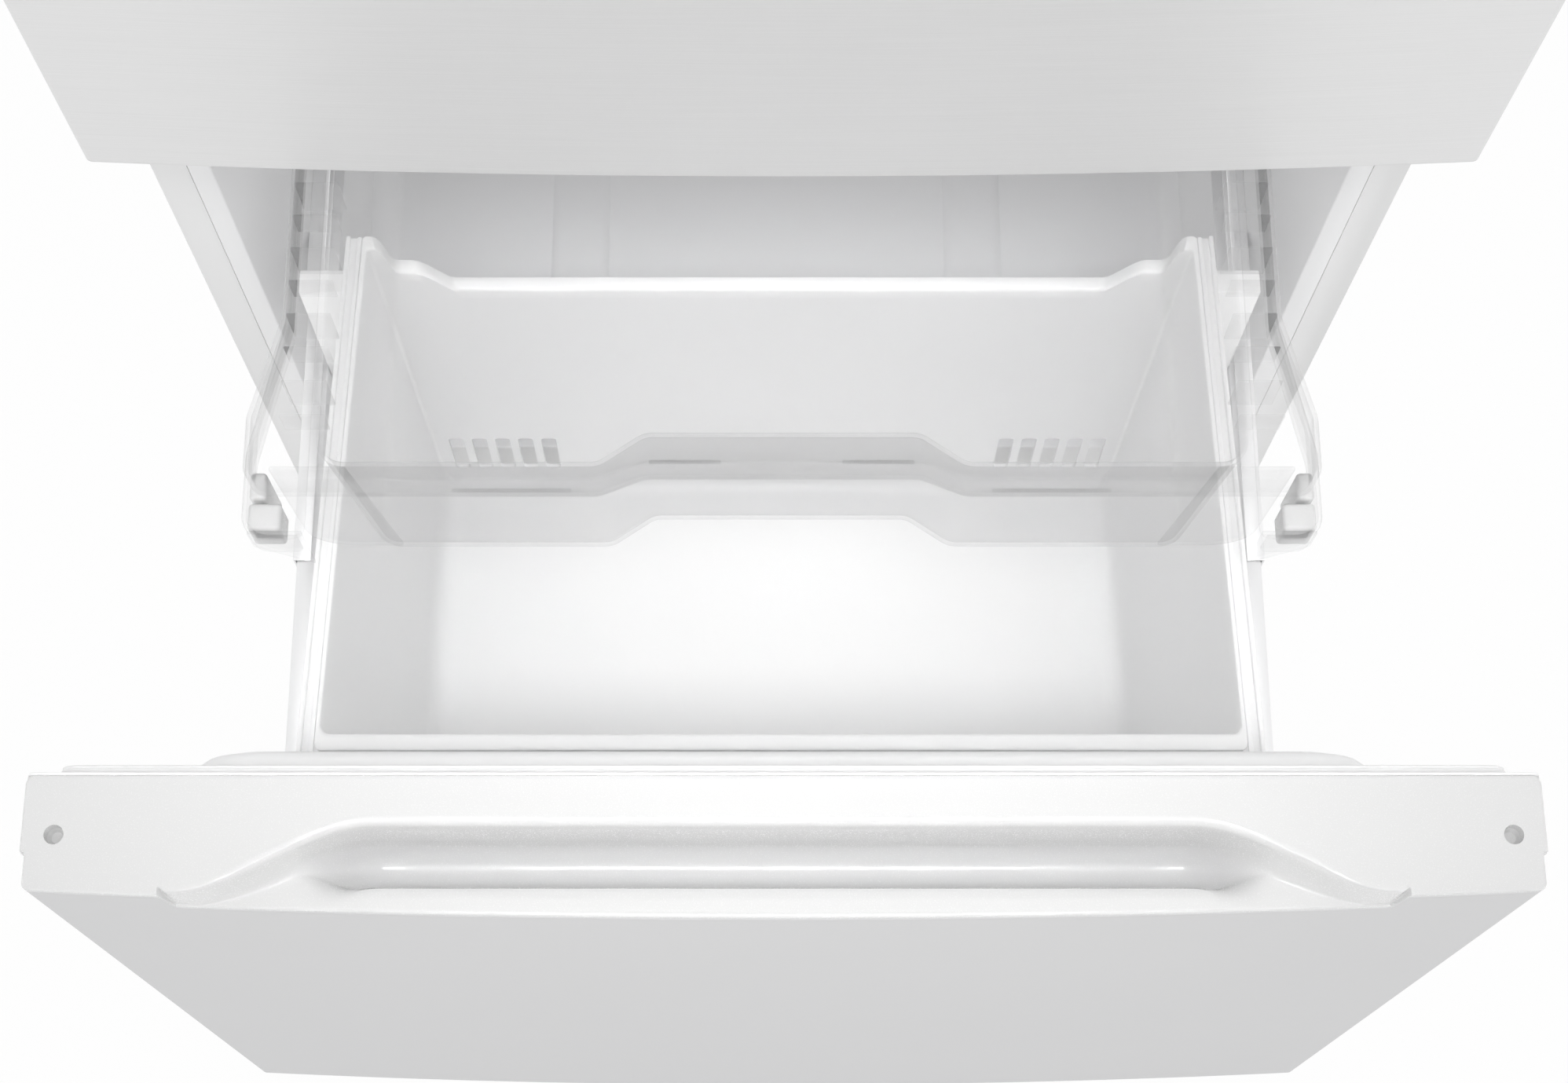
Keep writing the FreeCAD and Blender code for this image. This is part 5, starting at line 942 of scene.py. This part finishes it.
APRON_HALF = 277
for side, label in SIDES:
    wall_y = TRAY_FRONT + TRAY_RIM + 4
    edge = rounded([(side * (TRAY_FLOOR_HALF - 12), TRAY_LOW), (side * APRON_HALF, TRAY_LOW),
                    (side * (APRON_HALF + 5), TRAY_TOP - LIP), (side * (TRAY_HALF - 10),
                    TRAY_TOP - LIP)], [0, 38, 2, 0], 8)
    apron = solid_form(f"tray_apron_{label}",
                       [[(x, y, z) for x, z in edge] for y in (wall_y, wall_y + TRAY_WALL)])
    on_the_tray(eased(apron, 0.7))

RIBS = 15
RIB_PITCH = 20
RIB = 1.4
RIB_DROP = 34
RIB_START = 38
RIB_BITE = 1.5
BEAD_DROP = 48
BEAD_HEIGHT = 3.5
for side, label in SIDES:
    for k in range(RIBS):
        y = TRAY_FRONT + RIB_START + k * RIB_PITCH
        x = sorted((side * (TRAY_HALF - RIB_BITE), side * (TRAY_WIDE - FLARE - TRAY_WALL + 0.5)))
        low = TRAY_TOP - (RIB_DROP if k % 2 else LIP - 4)
        on_the_tray(block_form(f"tray_rib_{label}_{k + 1}", x, (y, y + RIB),
                               (low, TRAY_TOP - 1), 0.4))
for k, (x, width) in enumerate(((-150, 66), (-54, 40), (54, 40), (150, 66))):
    y = TRAY_FRONT + TRAY_RIM + (JOG_WALL if abs(x) < JOG else 0) - 0.9
    on_the_tray(block_form(f"tray_front_bead_{k + 1}", (x - width / 2, x + width / 2),
                           (y, y + RIB),
                           (TRAY_TOP - BEAD_DROP, TRAY_TOP - BEAD_DROP + BEAD_HEIGHT), 0.5))


# ------------------------------------------------------------------ tray guides
# Clear runners under the tray's lip. Each has a flat flange that flares to a round nose in
# front, a web down its outer side and a stub axle for the roller at the rear.
(_, GUIDE_FRONT, GUIDE_FOOT), (_, GUIDE_REAR, GUIDE_TOP) = reach("tray_guides")
GUIDE_OUT = 297
GUIDE_IN = 262
GUIDE_SHEET = 3.2
GUIDE_WAIST = 17
WEB = 2.2
HANGER = 2.5
HANGER_RUN = 60
NOSE = 24
NOSE_SHEET = 2.4
WAIST_FRONT = -318
WAIST_REAR = -240
AXLE_Y = -6.5
AXLE_Z = 613
AXLE_ROUND = 3
for side, label in SIDES:
    waist = GUIDE_OUT - GUIDE_WAIST
    corners = [(GUIDE_IN, GUIDE_FRONT), (GUIDE_OUT, GUIDE_FRONT), (GUIDE_OUT, WAIST_FRONT),
               (waist, WAIST_REAR), (waist, GUIDE_REAR - HANGER_RUN),
               (GUIDE_OUT, GUIDE_REAR - 44), (GUIDE_OUT, GUIDE_REAR), (GUIDE_IN, GUIDE_REAR)]
    radii = [6, 13, 40, 40, 14, 14, 4, 4]
    outline = rounded(corners, radii, 6)
    plan = mirror_x(outline, side)
    on_the_tray(plate_form(f"tray_guide_flange_{label}", plan, GUIDE_TOP - GUIDE_SHEET,
                           GUIDE_TOP, 0.9), *(["tray_guides"] if side < 0 else []))
    outer = outline[6:-3]
    inner = [(x - WEB, y + (WEB if y < GUIDE_FRONT + 8 else 0)) for x, y in outer]
    web = solid_form(f"tray_guide_web_{label}",
                     [[(x * side, y, z) for x, y in outer + inner[::-1]]
                      for z in (GUIDE_TOP - 1, GUIDE_TOP - NOSE)])
    on_the_tray(eased(web, 0.6))
    rear_web = block_form(f"tray_guide_hanger_{label}",
                          sorted((side * (GUIDE_OUT - HANGER), side * GUIDE_OUT)),
                          (GUIDE_REAR - HANGER_RUN, GUIDE_REAR), (GUIDE_FOOT, GUIDE_TOP - 1), 0.8)
    on_the_tray(rear_web)
    axle = [[(side * x, u, v) for u, v, _ in round_ring(AXLE_Y, AXLE_Z, 0, AXLE_ROUND, 20)]
            for x in (GUIDE_OUT - 2, GUIDE_OUT + 8.5)]
    on_the_tray(solid_form(f"tray_roller_axle_{label}", axle))
    fin = [(side * (GUIDE_IN + 2), GUIDE_FRONT + 3, GUIDE_FOOT - 13),
           (side * (GUIDE_IN + 2), GUIDE_FRONT + 3, GUIDE_TOP - 3),
           (side * (GUIDE_OUT - 3), GUIDE_FRONT + 3, GUIDE_TOP - 3),
           (side * (GUIDE_OUT - 3), GUIDE_FRONT + 3, GUIDE_FOOT + 16)]
    nose = solid_form(f"tray_guide_nose_{label}",
                      [[(x, y + move, z) for x, y, z in fin] for move in (0, NOSE_SHEET)])
    on_the_tray(eased(nose, 0.7))


# ------------------------------------------------------------------ guide blocks
# White nylon blocks, moulded and clipped into the nose of each guide. They stop the tray and
# keep it in the middle.
(_, BLOCK_FRONT, BLOCK_LOW), (BLOCK_OUT, BLOCK_REAR, BLOCK_TOP) = reach("guide_blocks")
BLOCK_LENGTH = 16
UPPER_HEIGHT = 26
UPPER_IN = 276
LOWER_IN = 285
for side, label in SIDES:
    for name, inner, y, low in (
            ("upper", UPPER_IN, (BLOCK_FRONT, BLOCK_FRONT + BLOCK_LENGTH),
             BLOCK_TOP - UPPER_HEIGHT),
            ("lower", LOWER_IN, (BLOCK_REAR - BLOCK_LENGTH, BLOCK_REAR), BLOCK_LOW)):
        form = block_form(f"guide_block_{name}_{label}",
                          sorted((side * inner, side * BLOCK_OUT)), y, (low, BLOCK_TOP), 2.6, 4)
        settled(form, white_moulding, "tray_carriage",
                ["guide_blocks"] if side < 0 and name == "upper" else [])


# ------------------------------------------------------------------ freezer floor ribs
# Two shallow flat ribs run from front to rear in the floor of the freezer liner. They are
# vacuum-formed with it from the same white sheet, and stiffen it.
freezer_plastic = moulded("freezer_liner_plastic", (0.90, 0.90, 0.905), 0.34, 1200, 0.04)
FREEZER_FLOOR = 121
RIB_FRONT = -48
RIB_REAR = 290
RIB_NEAR = 132
RIB_FAR = 177
RIB_ROUND = 10
for k, (near, far) in enumerate(((-RIB_FAR, -RIB_NEAR), (RIB_NEAR, RIB_FAR))):
    rows = []
    for inset, rise in ((0, 0.1), (3, 2.2), (7, 3)):
        plan = rounded_box(near + inset, far - inset, RIB_FRONT + inset, RIB_REAR - inset,
                           RIB_ROUND, 4)
        rows.append([(x, y, FREEZER_FLOOR + rise) for x, y in plan])
    settled(sheet_form(f"freezer_floor_rib_{k + 1}", rows, around=True, ends=(False, True)),
            freezer_plastic, "cabinet", [], 60)


# ------------------------------------------------------------------ case, covers and hinges
# The case is bent from painted sheet, so its folds are round. The hinge plates are stamped and
# plated, and moulded or sheet covers close the top, the foot and the machine room.
BODY_OF = {node: body for body, nodes in frame["record"]["behaviour"]["bodies"].items()
           for node in nodes}


def softened(node, finish, width, segments=2):
    """A copy of a CAD node in its place, with its doubles merged and its edges eased."""
    form = bmesh.new()
    form.from_mesh(frame["nodes"][node].data)
    bmesh.ops.remove_doubles(form, verts=form.verts, dist=0.000005)
    bmesh.ops.dissolve_limit(form, angle_limit=math.radians(0.5), verts=form.verts,
                             edges=form.edges)
    mesh = bpy.data.meshes.new(f"{node}_eased")
    form.to_mesh(mesh)
    form.free()
    piece = bpy.data.objects.new(f"{node}_eased", mesh)
    bpy.context.collection.objects.link(piece)
    settled(eased(piece, width, segments, 38), finish, BODY_OF[node], [node])


slide_steel = moulded("slide_steel", (0.80, 0.80, 0.805), 0.28, 500, 0.05, 0.1, 0.9)
softened("outer_case", case_paint, 1.0)
softened("kick_plate", dark_plastic, 1.2)
softened("machine_cover", zinc_sheet, 0.6)
softened("hinge_cover", white_moulding, 2.0, 3)
for name in ("top_hinge", "middle_hinge"):
    softened(name, slide_steel, 0.5)


# ------------------------------------------------------------------ liners
# Vacuum-formed white sheet: nothing in it has a sharp corner, and the door's inner panel has
# uprights that carry the racks.
for name, finish in (("fridge_liner", liner_plastic), ("freezer_liner", freezer_plastic),
                     ("door_liner", liner_plastic)):
    softened(name, finish, 3.0, 3)


# ------------------------------------------------------------------ fittings in the cabinet
# Snap-on moulded covers over the cooling coil and the air duct, the control panel in the roof,
# the shelf edges and the glass, and the cover over the crispers.
shelf_clear = clear_plastic("shelf_glass", (0.86, 0.93, 0.90), 0.08, 0.5)
for name, finish in (("evaporator_cover", liner_plastic), ("air_duct_cover", liner_plastic),
                     ("control_panel", liner_plastic), ("shelf_trims", white_moulding),
                     ("crisper_cover", white_moulding), ("glass_shelves", shelf_clear)):
    softened(name, finish, 0.9)


# ------------------------------------------------------------------ clear boxes and door racks
# Injection-moulded clear boxes with rounded edges: two crispers, the racks hooked on the
# door's uprights, and the dairy box with its lid.
for name in ("crisper_left", "crisper_right", "door_racks", "dairy_box", "dairy_lid"):
    softened(name, tray_clear, 0.8)


# ------------------------------------------------------------------ door and drawer trims
# White moulded caps close the ends of the door's steel wrap, and side trims close the drawer's.
# They go on before the fronts are filled with foam.
for name in ("door_end_caps", "drawer_trim"):
    softened(name, white_moulding, 0.8)


# ------------------------------------------------------------------ slides and tray rails
# Roll-formed slide members in three stages, whose bends are round, and the moulded rails that
# the tray's rollers run in.
for name in ("slide_outer_members", "slide_middle_members", "slide_inner_members"):
    softened(name, slide_steel, 0.6)
softened("tray_rails", white_moulding, 0.8)


# ------------------------------------------------------------------ drain pan and feet
# A dark moulded pan over the compressor catches the melt water. The screw feet under the
# front corners level the cabinet.
for name in ("drain_pan", "leveling_foot_left", "leveling_foot_right"):
    softened(name, dark_plastic, 0.8)


# ------------------------------------------------------------------ mullion cover
# A painted roll-formed bar closes the cabinet's front between the two rooms. Both seals shut
# on its face, which has a shallow groove along the middle.
(MULLION_LEFT, MULLION_FRONT, MULLION_LOW), (MULLION_RIGHT, MULLION_BACK, MULLION_TOP) = (
    reach("mullion_bar"))
GROOVE = 1.5
GROOVE_SIDE = 20
GROOVE_SLOPE = 3
section = [(MULLION_FRONT, MULLION_LOW), (MULLION_BACK, MULLION_LOW),
           (MULLION_BACK, MULLION_TOP), (MULLION_FRONT, MULLION_TOP),
           (MULLION_FRONT, MULLION_TOP - GROOVE_SIDE),
           (MULLION_FRONT + GROOVE, MULLION_TOP - GROOVE_SIDE - GROOVE_SLOPE),
           (MULLION_FRONT + GROOVE, MULLION_LOW + GROOVE_SIDE + GROOVE_SLOPE),
           (MULLION_FRONT, MULLION_LOW + GROOVE_SIDE)]
section = rounded(section, [1.5, 1.5, 1.5, 1.5, 3, 3, 3, 3], 3)
cover = solid_form("mullion_cover", [[(x, y, z) for y, z in section]
                                     for x in (MULLION_LEFT, MULLION_RIGHT)])
settled(cover, liner_plastic, "cabinet", ["mullion_bar"])
